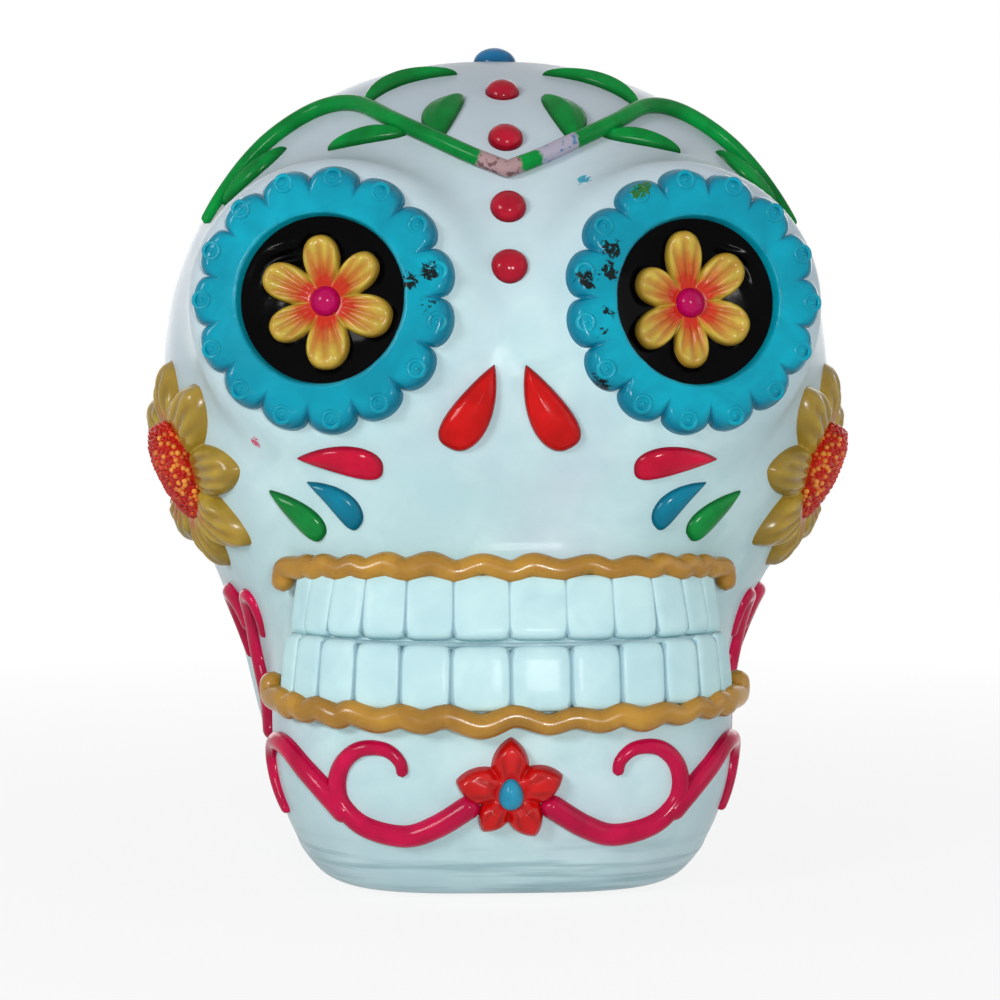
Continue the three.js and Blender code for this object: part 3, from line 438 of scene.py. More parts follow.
def capped_mesh(name, rows, first, last, **values):
    """Closed rows of points, shut by a fan to a point at each end; values run over the rows, then the
    ends."""
    count, sides = rows.shape[:2]
    points = np.concatenate([rows.reshape(-1, 3), first[None], last[None]])
    faces = loop_faces(count, sides)
    end = (count - 1) * sides
    faces += [(count * sides, (s + 1) % sides, s) for s in range(sides)]
    faces += [(count * sides + 1, end + s, end + (s + 1) % sides) for s in range(sides)]
    return make_mesh(name, points, faces, **values)


def pad_mesh(name, place, shape, height, ground, sides, rings, crease=None, foot_depth=FOOT):
    """A raised pad: rings of a disc shaped to an outline, with its foot sunk under its ground.
    Its points know how near they are to the rim and how deep in a crease."""
    spread = np.linspace(0, 1, rings + 1)[:, None]
    spread, angle = np.broadcast_arrays(spread, turns_round(sides)[None, :])
    a, b = shape(spread, angle)
    floor = ground(a, b)
    top = point_in(place, a, b, floor + height(spread, angle))
    foot = point_in(place, a[-1:], b[-1:], floor[-1:] - foot_depth)
    rows = np.concatenate([top[1:], foot])
    depth = np.zeros_like(spread) if crease is None else crease(spread, angle)
    rim = np.concatenate([spread[1:].ravel(), np.ones(sides), (0.0, 2.0)])
    depth = np.concatenate([depth[1:].ravel(), np.zeros(sides), (depth[0, 0], 0.0)])
    return capped_mesh(name, rows, top[0, 0], foot[0].mean(0), rim=rim, crease=depth)


def dome(spread):
    return np.cos(spread * np.pi / 2)


def bulge(spread):
    return np.sin(spread * np.pi / 2)


def bead_mesh(name, place, radius, height, ground, squeeze=0.0, foot_depth=FOOT):
    """A domed bead; squeeze draws one end in, as on an egg."""
    def shape(spread, angle):
        reach = radius * bulge(spread)
        narrow = 1 - squeeze * (1 + np.sin(angle)) / 2
        return reach * np.cos(angle) * narrow, reach * np.sin(angle) * (1 + squeeze / 2)

    def rise(spread, angle):
        return height * dome(spread)
    return pad_mesh(name, place, shape, rise, ground, *BEAD_GRID, foot_depth=foot_depth)


# Outlines by the turn round a drop's middle, one unit wide each side at their widest
TEAR_FULLNESS = 0.75
TEAR_POINT = 1
BLADE_POINT = 0.5
# How far a tear's highest point lies towards its full end, in shares of half its length
TEAR_LEAN = 0.3


def tear(turn):
    def raw(t):
        across = np.sin(t)
        return np.sign(across) * np.abs(across) ** TEAR_FULLNESS * np.abs(np.sin(t / 2)) ** TEAR_POINT
    return raw(turn) / raw(2 * math.atan(math.sqrt(TEAR_POINT / TEAR_FULLNESS + 1)))


def blade(turn):
    return np.sin(turn) * np.abs(np.sin(turn)) ** BLADE_POINT


def drop_mesh(name, place, outline, length, width, height, bend=0.0, rib=0.0, lean=0.0):
    """A domed drop, bent to one side in the middle of its length, with a rib raised along it."""
    def shape(spread, angle):
        reach = bulge(spread)
        along = reach * np.cos(angle) - lean * (1 - reach)
        return along * length / 2, reach * outline(angle) * width / 2 + bend * (1 - along * along)

    def rise(spread, angle):
        ridge = rib * (1 - spread**2) * np.exp(-(bulge(spread) * outline(angle) / 0.25) ** 2)
        return height * dome(spread) ** 0.8 + ridge
    return pad_mesh(name, place, shape, rise, ground_under(place), *DROP_GRID)


def mirrored(mesh):
    copy = mesh.copy()
    copy.transform(Matrix.Scale(-1, 4, (1, 0, 0)))
    copy.flip_normals()
    return copy


# Flowers: a petal falls away from its tip to the valley beside it by a power of the turn between them
ROUND_PETAL = 2.4
POINTED_PETAL = 1.5
STAR_PETAL = 1.15
VALLEY_RISE = 0.3
CREASE_WIDTH = 0.13
# How unevenly the petals stand round the flower, how much their lengths differ, and their rounded edge
PETAL_DRIFT = 0.08
PETAL_VARIETY = 0.07
PETAL_EDGE = 0.2
PETAL_STEPS = 40


def flower_mesh(name, place, petals, radius, valley, fall, core, height, core_height, ground,
                turn=np.pi / 2, creases=(), crease_depth=0.3, crease_fade=0.35, flat=3, stagger=0.0, seed=0):
    """Petals round a core, each a little longer or shorter and wider or narrower than the rest, with
    creases at shares of the turn from its middle to its edge; a higher power flat makes it less rounded
    across, and stagger lifts every other petal."""
    vary = np.random.default_rng(seed)
    lengths = 1 + vary.normal(0, PETAL_VARIETY, petals)
    phase = vary.uniform(0, 2 * np.pi)

    def petal_at(angle):
        aslant = PETAL_DRIFT * (np.sin(angle + phase) + 0.6 * np.sin(2 * angle - phase))
        turns = petals * (angle - turn + aslant) / (2 * np.pi)
        which = np.round(turns).astype(int)
        return which % petals, 2 * (turns - which)

    def distance_at(spread, angle):
        which, aside = petal_at(angle)
        tip = (1 - np.abs(aside) ** fall) * lengths[which]
        return spread * radius * (valley + (1 - valley) * tip)

    def shape(spread, angle):
        distance = distance_at(spread, angle)
        return distance * np.cos(angle), distance * np.sin(angle)

    def crease(spread, angle):
        aside = petal_at(angle)[1]
        lines = sum(np.exp(-((aside - line) / CREASE_WIDTH) ** 2) for line in creases)
        outside = np.clip((distance_at(spread, angle) / core - 0.9) / 0.5, 0, 1)
        return lines * outside * np.clip((1.02 - spread) / crease_fade, 0, 1)

    def rise(spread, angle):
        which, aside = petal_at(angle)
        outside = np.clip((distance_at(spread, angle) / core - 0.8) / 0.6, 0, 1)
        crown = 1 - (1 - VALLEY_RISE) * np.abs(aside) ** flat
        petal = (height + stagger * (which % 2)) * crown
        edge = np.sqrt(1 - np.clip((spread - (1 - PETAL_EDGE)) / PETAL_EDGE, 0, 1) ** 2)
        body = core_height + (petal - core_height) * outside
        return edge * (body - crease_depth * crease(spread, angle))
    return pad_mesh(name, place, shape, rise, ground, petals * PETAL_STEPS, PETAL_STEPS, crease)


# Geometry Nodes: each tree has named inputs for its sizes, and leaves a plain mesh

def add_node(tree, kind, inputs=None, **settings):
    """Adds a node with its settings, and sets or links its inputs; a node stands for its first output."""
    node = tree.nodes.new(kind)
    for key, value in settings.items():
        setattr(node, key, value)
    for key, value in (inputs or {}).items():
        if isinstance(value, bpy.types.Node):
            value = value.outputs[0]
        if isinstance(value, bpy.types.NodeSocket):
            tree.links.new(value, node.inputs[key])
        else:
            node.inputs[key].default_value = value
    return node


def new_tree(name, sizes):
    """A tree with inputs for its sizes and its finish, a way to add nodes to it, and what it is given."""
    tree = bpy.data.node_groups.new(name, "GeometryNodeTree")
    for key, kind in {"Geometry": "Geometry", **sizes, "Finish": "Material"}.items():
        tree.interface.new_socket(key, in_out="INPUT", socket_type=f"NodeSocket{kind}")
    tree.interface.new_socket("Geometry", in_out="OUTPUT", socket_type="NodeSocketGeometry")
    return tree, partial(add_node, tree), tree.nodes.new("NodeGroupInput").outputs


def close_tree(tree, geometry, finish):
    smooth = add_node(tree, "GeometryNodeSetShadeSmooth", {"Geometry": geometry})
    real = add_node(tree, "GeometryNodeRealizeInstances", {"Geometry": smooth})
    painted = add_node(tree, "GeometryNodeSetMaterial", {"Geometry": real, "Material": finish})
    add_node(tree, "NodeGroupOutput", {0: painted})
    return tree


def new_object(name, data):
    item = bpy.data.objects.new(name, data)
    bpy.context.scene.collection.objects.link(item)
    return item


def grow(name, data, tree, finish, sizes):
    """Runs a tree on a mesh or curve and returns the plain mesh that it makes."""
    source = new_object(name + "_source", data)
    modifier = source.modifiers.new("grow", "NODES")
    modifier.node_group = tree
    values = {**sizes, "Finish": finish}
    for item in tree.interface.items_tree:
        if item.in_out == "INPUT" and item.name in values:
            modifier[item.identifier] = values[item.name]
    bpy.context.view_layer.update()
    evaluated = source.evaluated_get(bpy.context.evaluated_depsgraph_get())
    mesh = bpy.data.meshes.new_from_object(evaluated)
    mesh.name = name
    source.modifiers.remove(modifier)
    bpy.data.objects.remove(source)
    return mesh


def cord_tree():
    """A round cord swept along a path, as thick as the path's own radius, that knows how far along it is."""
    tree, add, given = new_tree("cord along a path", {"Sides": "Int"})
    along = add("GeometryNodeSplineParameter")
    marked = add("GeometryNodeStoreNamedAttribute", {
        "Geometry": given["Geometry"], "Name": "along", "Value": along}, data_type="FLOAT", domain="POINT")
    section = add("GeometryNodeCurvePrimitiveCircle", {"Resolution": given["Sides"], "Radius": 1.0})
    radius = add("GeometryNodeInputRadius")
    swept = add("GeometryNodeCurveToMesh", {
        "Curve": marked, "Profile Curve": section, "Scale": radius, "Fill Caps": True})
    return close_tree(tree, swept, given["Finish"])


def stud_tree():
    """A small raised ring with a dot in it, on each point, square to the surface there."""
    tree, add, given = new_tree("ringed studs", {
        "Ring radius": "Float", "Ring thickness": "Float", "Dot radius": "Float"})
    ring = add("GeometryNodeCurvePrimitiveCircle", {"Resolution": 24, "Radius": given["Ring radius"]})
    section = add("GeometryNodeCurvePrimitiveCircle", {"Resolution": 8, "Radius": given["Ring thickness"]})
    band = add("GeometryNodeCurveToMesh", {"Curve": ring, "Profile Curve": section})
    dot = add("GeometryNodeMeshUVSphere", {"Segments": 12, "Rings": 8, "Radius": given["Dot radius"]})
    stud = add("GeometryNodeJoinGeometry")
    for form in (band, dot):
        tree.links.new(form.outputs[0], stud.inputs[0])
    out = add("GeometryNodeInputNamedAttribute", {"Name": "out"}, data_type="FLOAT_VECTOR")
    turn = add("FunctionNodeAlignRotationToVector", {"Vector": out}, axis="Z")
    studs = add("GeometryNodeInstanceOnPoints", {
        "Points": given["Geometry"], "Instance": stud, "Rotation": turn})
    return close_tree(tree, studs, given["Finish"])


def tooth_tree():
    """A rounded block on each point, sized and turned by the point: a cube drawn in to a squared ball."""
    tree, add, given = new_tree("row of teeth", {"Squareness": "Float"})
    power = given["Squareness"]
    cube = add("GeometryNodeMeshCube", {
        "Size": (2, 2, 2), "Vertices X": 21, "Vertices Y": 11, "Vertices Z": 21})
    corner = add("GeometryNodeInputPosition")
    axes = add("ShaderNodeSeparateXYZ", {0: corner}).outputs
    reach = [add("ShaderNodeMath", {0: axis}, operation="ABSOLUTE") for axis in axes]
    raised = [add("ShaderNodeMath", {0: size, 1: power}, operation="POWER") for size in reach]
    pair = add("ShaderNodeMath", {0: raised[0], 1: raised[1]}, operation="ADD")
    total = add("ShaderNodeMath", {0: pair, 1: raised[2]}, operation="ADD")
    marked = add("GeometryNodeStoreNamedAttribute", {"Geometry": cube, "Name": "edge", "Value": reach[0]},
                 data_type="FLOAT", domain="POINT")
    inverse = add("ShaderNodeMath", {0: -1.0, 1: power}, operation="DIVIDE")
    shrink = add("ShaderNodeMath", {0: total, 1: inverse}, operation="POWER")
    drawn = add("ShaderNodeVectorMath", {0: corner, 3: shrink}, operation="SCALE")
    block = add("GeometryNodeSetPosition", {"Geometry": marked, "Position": drawn})
    out, up, size = (add("GeometryNodeInputNamedAttribute", {"Name": key}, data_type="FLOAT_VECTOR")
                     for key in ("out", "up", "size"))
    turn = add("FunctionNodeAxesToRotation", {0: up, 1: out}, primary_axis="Z", secondary_axis="Y")
    row = add("GeometryNodeInstanceOnPoints", {
        "Points": given["Geometry"], "Instance": block, "Rotation": turn, "Scale": size})
    return close_tree(tree, row, given["Finish"])


def seed_tree():
    """Grains scattered close over the top of a dome; each knows its own shade, and the paler are larger."""
    tree, add, given = new_tree("seed head", {"Spacing": "Float", "Grain": "Float", "Seed": "Int"})
    rim = add("GeometryNodeInputNamedAttribute", {"Name": "rim"}, data_type="FLOAT")
    top = add("FunctionNodeCompare", {0: rim, 1: 1.02}, operation="LESS_THAN")
    cloud = add("GeometryNodeDistributePointsOnFaces", {
        "Mesh": given["Geometry"], "Selection": top, "Distance Min": given["Spacing"],
        "Density Max": 5e6, "Seed": given["Seed"]}, distribute_method="POISSON")
    shade = add("FunctionNodeRandomValue", {"Seed": given["Seed"]}, data_type="FLOAT").outputs[1]
    shaded = add("GeometryNodeStoreNamedAttribute", {"Geometry": cloud, "Name": "shade", "Value": shade},
                 data_type="FLOAT", domain="POINT")
    grain = add("GeometryNodeMeshIcoSphere", {"Radius": given["Grain"], "Subdivisions": 1})
    swell = add("ShaderNodeMath", {0: shade, 1: 0.5, 2: 0.75}, operation="MULTIPLY_ADD")
    grains = add("GeometryNodeInstanceOnPoints", {"Points": shaded, "Instance": grain, "Scale": swell})
    return close_tree(tree, grains, given["Finish"])


def path_curve(name, strands):
    """A curve with one poly spline for each strand of points and radii, in millimetres."""
    curve = bpy.data.curves.new(name, "CURVE")
    curve.dimensions = "3D"
    for points, radii in strands:
        spline = curve.splines.new("POLY")
        spline.points.add(len(points) - 1)
        places = np.concatenate([to_frame(points), np.ones((len(points), 1))], -1)
        spline.points.foreach_set("co", places.ravel())
        spline.points.foreach_set("radius", np.asarray(radii) * MM)
    return curve


def point_cloud(name, points, **vectors):
    mesh = bpy.data.meshes.new(name)
    mesh.from_pydata(to_frame(points).tolist(), [], [])
    for key, value in vectors.items():
        attribute = mesh.attributes.new(key, "FLOAT_VECTOR", "POINT")
        attribute.data.foreach_set("vector", np.asarray(value, np.float32).ravel())
    return mesh


SPAN_STEPS = 24


def smooth_path(knots, steps):
    """A Catmull-Rom curve through the knots, with evenly spaced points."""
    knots = np.asarray(knots, float)
    ends = np.concatenate([2 * knots[:1] - knots[1:2], knots, 2 * knots[-1:] - knots[-2:-1]])
    share = np.linspace(0, 1, SPAN_STEPS, endpoint=False)[:, None]
    pieces = []
    for i in range(len(knots) - 1):
        p0, p1, p2, p3 = ends[i:i + 4]
        pieces.append(0.5 * (2 * p1 + (p2 - p0) * share + (2 * p0 - 5 * p1 + 4 * p2 - p3) * share**2
                             + (3 * p1 - p0 - 3 * p2 + p3) * share**3))
    fine = np.concatenate(pieces + [knots[-1:]])
    run = travelled(fine)
    even = np.linspace(0, run[-1], steps)
    return np.stack([np.interp(even, run, fine[:, i]) for i in range(fine.shape[1])], -1)


def rounded_radius(points, widths):
    """Half widths along a cord, drawn in round at its two ends."""
    run = travelled(points)
    radii = np.asarray(widths) / 2
    inside = np.clip(np.minimum(run, run[-1] - run) / radii, 0, 1)
    return radii * np.maximum(np.sqrt(1 - (1 - inside) ** 2), 0.05)


# Materials

def linear(hexa):
    """An sRGB hex colour as linear RGBA."""
    channels = [int(hexa[i:i + 2], 16) / 255 for i in (1, 3, 5)]
    return [c / 12.92 if c <= 0.04045 else ((c + 0.055) / 1.055) ** 2.4 for c in channels] + [1.0]


def per_metre(size_mm):
    """Pattern scale whose features are about that many millimetres apart."""
    return 1 / (size_mm * MM)


# Spacing of the marks that all the paints share, and how far the bumps stand out
BRUSH_MARK = 7.0
ORANGE_PEEL = 1.6
MOTTLE = 16.0
BUMP_HEIGHT = 0.25


def bare_tree(owner):
    """The node tree of a new material or world, with nothing in it."""
    owner.use_nodes = True
    owner.node_tree.nodes.clear()
    return owner.node_tree


def paint_base(name, light, dark, roughness=0.24, mottle=MOTTLE, specular=0.06, coat=0.04):
    """Brushed acrylic paint under a poured gloss varnish, on cast resin: the paint is a little streaky, and
    the varnish is smooth with a slight orange peel that breaks up its highlights.
    Returns the material with its parts, for what a finish adds."""
    material = bpy.data.materials.new(name)
    tree = bare_tree(material)
    add = partial(add_node, tree)
    where = add("ShaderNodeTexCoord").outputs["Object"]
    cloud = add("ShaderNodeTexNoise", {"Vector": where, "Scale": per_metre(mottle), "Detail": 3.0})
    streak = add("ShaderNodeTexNoise", {
        "Vector": where, "Scale": per_metre(BRUSH_MARK), "Detail": 4.0, "Distortion": 0.6})
    blend = add("ShaderNodeMath", {0: cloud, 1: streak}, operation="MULTIPLY")
    share = add("ShaderNodeMapRange", {"Value": blend, "From Min": 0.14, "From Max": 0.4}, clamp=True)
    mix = add("ShaderNodeMix", {0: share, 6: linear(dark), 7: linear(light)}, data_type="RGBA")
    peel = add("ShaderNodeTexNoise", {"Vector": where, "Scale": per_metre(ORANGE_PEEL), "Detail": 2.0})
    bumps = add("ShaderNodeMath", {0: peel, 1: streak}, operation="ADD")
    bump = add("ShaderNodeBump", {"Height": bumps, "Strength": 0.12, "Distance": BUMP_HEIGHT * MM})
    gloss = add("ShaderNodeMapRange", {
        "Value": streak, "From Min": 0.3, "From Max": 0.7, "To Min": roughness, "To Max": roughness + 0.08})
    shader = add("ShaderNodeBsdfPrincipled", {
        "Base Color": mix.outputs[2], "Roughness": gloss, "Normal": bump, "IOR": 1.5,
        "Specular IOR Level": specular, "Coat Weight": coat, "Coat Roughness": 0.08})
    add("ShaderNodeOutputMaterial", {"Surface": shader})
    return SimpleNamespace(material=material, tree=tree, add=add, where=where, shader=shader,
                           colour=mix.outputs[2])


def lay_over(paint, mask, hexa, shade=1.0):
    """Lays a colour, darkened by its shade, over the paint where the mask is 1."""
    colour = [channel * shade for channel in linear(hexa)[:3]] + [1.0]
    mix = paint.add("ShaderNodeMix", {0: mask, 6: paint.colour, 7: colour}, data_type="RGBA")
    paint.colour = mix.outputs[2]
    paint.tree.links.new(paint.colour, paint.shader.inputs["Base Color"])


def wash(paint, value, low, high, most, hexa, shade=1.0):
    """Lays a colour over the paint more and more as a value goes from low to high, and returns its mask."""
    mask = paint.add("ShaderNodeMapRange", {
        "Value": value, "From Min": low, "From Max": high, "To Max": most}, clamp=True)
    lay_over(paint, mask, hexa, shade)
    return mask


def foot_shade(paint, dark):
    """Painted shade: the paint is darkened at the foot of a raised piece, where it meets the casting."""
    rim = paint.add("ShaderNodeAttribute", attribute_name="rim")
    wash(paint, rim.outputs["Fac"], 0.62, 1.0, 0.8, dark, shade=0.3)


def smear(paint, centre, reach, grain, threshold, hexa):
    """Ragged specks of a colour within a reach of a point, in millimetres in the form."""
    spot = Vector(to_frame(centre))
    away = paint.add("ShaderNodeVectorMath", {0: paint.where, 1: spot}, operation="DISTANCE")
    near = paint.add("ShaderNodeMapRange", {
        "Value": away.outputs["Value"], "From Min": reach * MM, "From Max": 0.0}, clamp=True)
    grit = paint.add("ShaderNodeTexNoise", {
        "Vector": paint.where, "Scale": per_metre(grain), "Detail": 3.0, "Distortion": 1.2})
    both = paint.add("ShaderNodeMath", {0: near, 1: grit}, operation="MULTIPLY")
    wash(paint, both, threshold, threshold + 0.05, 1.0, hexa)


def eye_spot(side, bearing, distance):
    """A point on an eye's rosette; side is 1 for the right and -1 for the left."""
    angle = math.radians(bearing)
    point = point_in(eye, distance * math.cos(angle), distance * math.sin(angle), ROSETTE_HEIGHT)
    return point * np.array((side, 1, 1))


# Smears on the casting: place across and up the face, reach, grain, threshold and colour
CASTING_SMEARS = ((-44.5, 80.5, 2.4, 0.9, 0.27, "#c8607c"), (13.5, 127, 3.0, 1.0, 0.28, "#3a9cb4"))
LILAC_PATCH = 45
# Middle of the face, and the distances from it at which the painted shade, a greyer white towards the crown
# and the sides, begins and is full
FACE_MIDDLE = MUZZLE["half"][2] * 1.4
SHADE_START = 40
SHADE_FULL = 85
# Length and width of a trowel streak, and how softly the streaks end at the top of the base band
TROWEL_LENGTH = 25
TROWEL_WIDTH = 1.6
TROWEL_FADE = 2


def white_casting_paint():
    """Cool white paint, a little bluer and greyer in patches, with painted shade that turns it greyer away
    from the middle of the face, small smears of other colours and grey trowel streaks round the base."""
    paint = paint_base("varnished white paint on cast resin", "#c8e5e8", "#b6d7dc", 0.3, 30.0)
    add, where = paint.add, paint.where
    lilac = add("ShaderNodeTexNoise", {"Vector": where, "Scale": per_metre(LILAC_PATCH), "Detail": 2.0})
    wash(paint, lilac, 0.52, 0.75, 0.5, "#c6c4d6")
    # Painted shade: the white turns greyer away from the middle of the face, towards the crown and the sides
    level = add("ShaderNodeVectorMath", {0: where, 1: (1, 0, 1)}, operation="MULTIPLY")
    apart = add("ShaderNodeVectorMath", {0: level, 1: (0, 0, FACE_MIDDLE * MM)}, operation="DISTANCE")
    wash(paint, apart.outputs["Value"], SHADE_START * MM, SHADE_FULL * MM, 0.8, "#c3ccd6")
    for x, z, *mark in CASTING_SMEARS:
        smear(paint, on_face(x, z), *mark)
    long, thin = per_metre(TROWEL_LENGTH), per_metre(TROWEL_WIDTH)
    flat = add("ShaderNodeMapping", {"Vector": where, "Scale": (long, long, thin)})
    streak = add("ShaderNodeTexNoise", {"Vector": flat, "Scale": 1.0, "Detail": 3.0})
    height = add("ShaderNodeSeparateXYZ", {0: where}).outputs[2]
    low = add("ShaderNodeMapRange", {
        "Value": height, "From Min": (BASE_BAND + TROWEL_FADE) * MM,
        "From Max": (BASE_BAND - TROWEL_FADE) * MM}, clamp=True)
    marks = add("ShaderNodeMapRange", {
        "Value": streak, "From Min": 0.48, "From Max": 0.66, "To Max": 0.75}, clamp=True)
    trowel = add("ShaderNodeMath", {0: low, 1: marks}, operation="MULTIPLY")
    lay_over(paint, trowel, "#93b4bb")
    return paint.material


def teeth_paint():
    """White paint, with painted shade: a blue-grey wash in the grooves where the teeth meet."""
    paint = paint_base("varnished white paint on teeth", "#cbecee", "#b8dce2", 0.28, 20.0)
    # Painted shade in the grooves between the teeth
    edge = paint.add("ShaderNodeAttribute", attribute_name="edge")
    wash(paint, edge.outputs["Fac"], 0.9, 1.0, 0.8, "#8fb2bf")
    return paint.material


# Scuffs and a smudge on the rosettes: side, bearing round the eye in degrees, distance from its middle
ROSETTE_SCUFFS = ((-1, 167, 19.6), (-1, 170, 16.2), (-1, 186, 19.2), (-1, 216, 19.8), (1, 152, 17.8),
                  (1, 165, 17), (1, 172, 20.4), (1, 190, 16.5), (1, 200, 18.9), (1, 219, 22.4))
GREEN_SMUDGE = (1, 117, 22)


def rosette_paint():
    """Turquoise paint, darker towards the scallops' edges and in the valleys between them as painted shade,
    scuffed through to black towards the nose, with a green smudge on one scallop."""
    paint = paint_base("varnished turquoise paint", "#06a2ba", "#048aa2", 0.12, MOTTLE, 0.1, 0.06)
    # Painted shade: darker towards the scallops' outer edge and in the valleys between them
    rim = paint.add("ShaderNodeAttribute", attribute_name="rim")
    wash(paint, rim.outputs["Fac"], 0.6, 1.0, 0.75, "#056a8a")
    for spot in ROSETTE_SCUFFS:
        smear(paint, eye_spot(*spot), 4.5, 1.4, 0.295, "#0b1a1c")
    smear(paint, eye_spot(*GREEN_SMUDGE), 5.0, 1.8, 0.3, "#2c6b33")
    return paint.material


# Width of the feathered strokes on a petal, how far they reach in shares of its length, and their mean
FEATHER = 2.2
FEATHER_REACH = 0.35
FEATHER_MEAN = 0.17


def petal_paint(name, light, dark, heart, change, crease):
    """Paint with a wet-blended heart colour that feathers out along the petals, over the given change in
    shares of their length, with painted shade in the creases and darker towards the edges."""
    paint = paint_base(name, light, dark, 0.2, 6.0, 0.2, 0.12)
    add = paint.add
    rim = add("ShaderNodeAttribute", attribute_name="rim").outputs["Fac"]
    feather = add("ShaderNodeTexNoise", {"Vector": paint.where, "Scale": per_metre(FEATHER), "Detail": 3.0})
    ragged = add("ShaderNodeMath", {0: feather, 1: FEATHER_REACH, 2: rim}, operation="MULTIPLY_ADD")
    wash(paint, ragged, change[1] + FEATHER_MEAN, change[0] + FEATHER_MEAN, 1.0, heart)
    # Painted shade: the creases are darkened by how deep they are
    depth = add("ShaderNodeAttribute", attribute_name="crease").outputs["Fac"]
    groove = add("ShaderNodeMath", {0: depth, 1: 0.55}, operation="MULTIPLY", use_clamp=True)
    lay_over(paint, groove, crease)
    wash(paint, rim, 0.88, 1.0, 0.4, crease)
    return paint.material


def seed_paint():
    """Red paint over the grains, with yellow on some grains picked at random, laid on as a painted highlight
    most on the side towards the face.
    """
    paint = paint_base("varnished orange-red paint on seed grains", "#d42a14", "#ac1a0c", 0.2, 5.0, 0.15, 0.1)
    shade = paint.add("ShaderNodeAttribute", attribute_name="shade").outputs["Fac"]
    # Painted highlight: grains on the side towards the face turn yellow more often
    depth = paint.add("ShaderNodeSeparateXYZ", {0: paint.where}).outputs[1]
    middle = (temple["origin"] + FORM_SHIFT)[1]
    front = paint.add("ShaderNodeMapRange", {
        "Value": depth, "From Min": (middle - SEED_HEAD_RADIUS / 4) * MM,
        "From Max": (middle - SEED_HEAD_RADIUS) * MM}, clamp=True)
    both = paint.add("ShaderNodeMath", {0: front, 1: 0.45, 2: shade}, operation="MULTIPLY_ADD")
    wash(paint, both, 0.98, 1.3, 0.9, "#ea9c40")
    return paint.material


# Worn stretches of the vine, in shares of its length: from, to, primer, specks
VINE_WEAR = ((0.464, 0.516, "#a88a8c", "#5a3a3c"), (0.541, 0.594, "#a9a3b4", "#2f74a0"))
WEAR_CORE = 0.01
PRIMER_GRIT = 2.6
PRIMER_SPECK = 1.4


def vine_paint(name, light, dark):
    """Green paint, rubbed through on both sides of the vine's turning point to a greyish, specked primer."""
    paint = paint_base(name, light, dark, 0.16)
    add, where = paint.add, paint.where
    along = add("ShaderNodeAttribute", attribute_name="along").outputs["Fac"]
    grit = add("ShaderNodeTexNoise", {"Vector": where, "Scale": per_metre(PRIMER_GRIT), "Detail": 4.0})
    chips = add("ShaderNodeTexNoise", {"Vector": where, "Scale": per_metre(PRIMER_SPECK), "Detail": 2.0})
    spots = add("ShaderNodeMapRange", {
        "Value": chips, "From Min": 0.54, "From Max": 0.62, "To Max": 0.8}, clamp=True)
    for start, end, primer, speck in VINE_WEAR:
        off = add("ShaderNodeMath", {0: along, 1: (start + end) / 2}, operation="SUBTRACT")
        away = add("ShaderNodeMath", {0: off}, operation="ABSOLUTE")
        near = add("ShaderNodeMapRange", {
            "Value": away, "From Min": (end - start) / 2 + WEAR_CORE, "From Max": WEAR_CORE}, clamp=True)
        both = add("ShaderNodeMath", {0: near, 1: grit}, operation="ADD")
        worn = wash(paint, both, 0.8, 0.95, 1.0, primer)
        specks = add("ShaderNodeMath", {0: spots, 1: worn}, operation="MULTIPLY")
        lay_over(paint, specks, speck)
    # Painted shade at the foot of the vine and its leaves
    foot_shade(paint, dark)
    return paint.material


def plain_paint(name, light, dark):
    """One colour, brushed on thick and glossy, with painted shade at its foot."""
    paint = paint_base(name, light, dark, 0.1, 8.0, 0.11, 0.06)
    foot_shade(paint, dark)
    return paint.material


white_paint = white_casting_paint()
tooth_white = teeth_paint()
# Grey on the bite ridge as painted shade, standing for the shade in the bite's two cut lines
bite_shade_grey = plain_paint("varnished grey painted shade on the bite ridge", "#a6c6cd", "#86a8b2")
turquoise = rosette_paint()
# Black with next to no sheen, so that the dishes look deep
black = paint_base("varnished black paint", "#030304", "#010102", 0.12, 8.0, 0.04, 0.0).material
eye_petal_paint = petal_paint("varnished ochre and orange paint", "#d2b74a", "#b49836",
                              "#c0260a", (0.4, 0.78), "#a85a18")
temple_petal_paint = petal_paint("varnished ochre paint", "#c6a640", "#a28a32",
                                 "#b04a1c", (0.42, 0.7), "#6a4416")
seed_finish = seed_paint()
magenta = plain_paint("varnished magenta paint", "#c80a62", "#a8004c")
red = plain_paint("varnished red paint", "#d01010", "#b00606")
chin_red = petal_paint("varnished red paint on petals", "#d41414", "#b80a0a",
                       "#c00c0c", (0.2, 0.4), "#7a0505")
crimson = plain_paint("varnished crimson paint", "#d8103e", "#b40a2e")
petal_blue = plain_paint("varnished blue paint", "#04829e", "#036884")
petal_green = plain_paint("varnished green paint", "#0e9040", "#08702e")
# Gold-ochre under more varnish, which catches the light along its waves
gold = paint_base("varnished gold-ochre paint", "#bc8a2a", "#9a6c1a", 0.24, 8.0, 0.35, 0.2).material
scroll_crimson = plain_paint("varnished pink-crimson paint", "#d00f4c", "#ac083a")
sky_blue = plain_paint("varnished sky-blue paint", "#35a4c8", "#2488ac")
vine_green = vine_paint("varnished green paint, worn", "#08923e", "#066e2c")
bead_crimson = plain_paint("varnished crimson paint on beads", "#bc1430", "#980c22")
crown_blue = plain_paint("varnished cobalt paint", "#1a82ba", "#10689a")


# Pieces

cords = cord_tree()


def add_piece(name, mesh, finish, slot, *nodes):
    mesh.materials.clear()
    mesh.materials.append(finish)
    piece = new_object(name, mesh)
    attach(piece, "root")
    if nodes:
        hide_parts(*nodes)


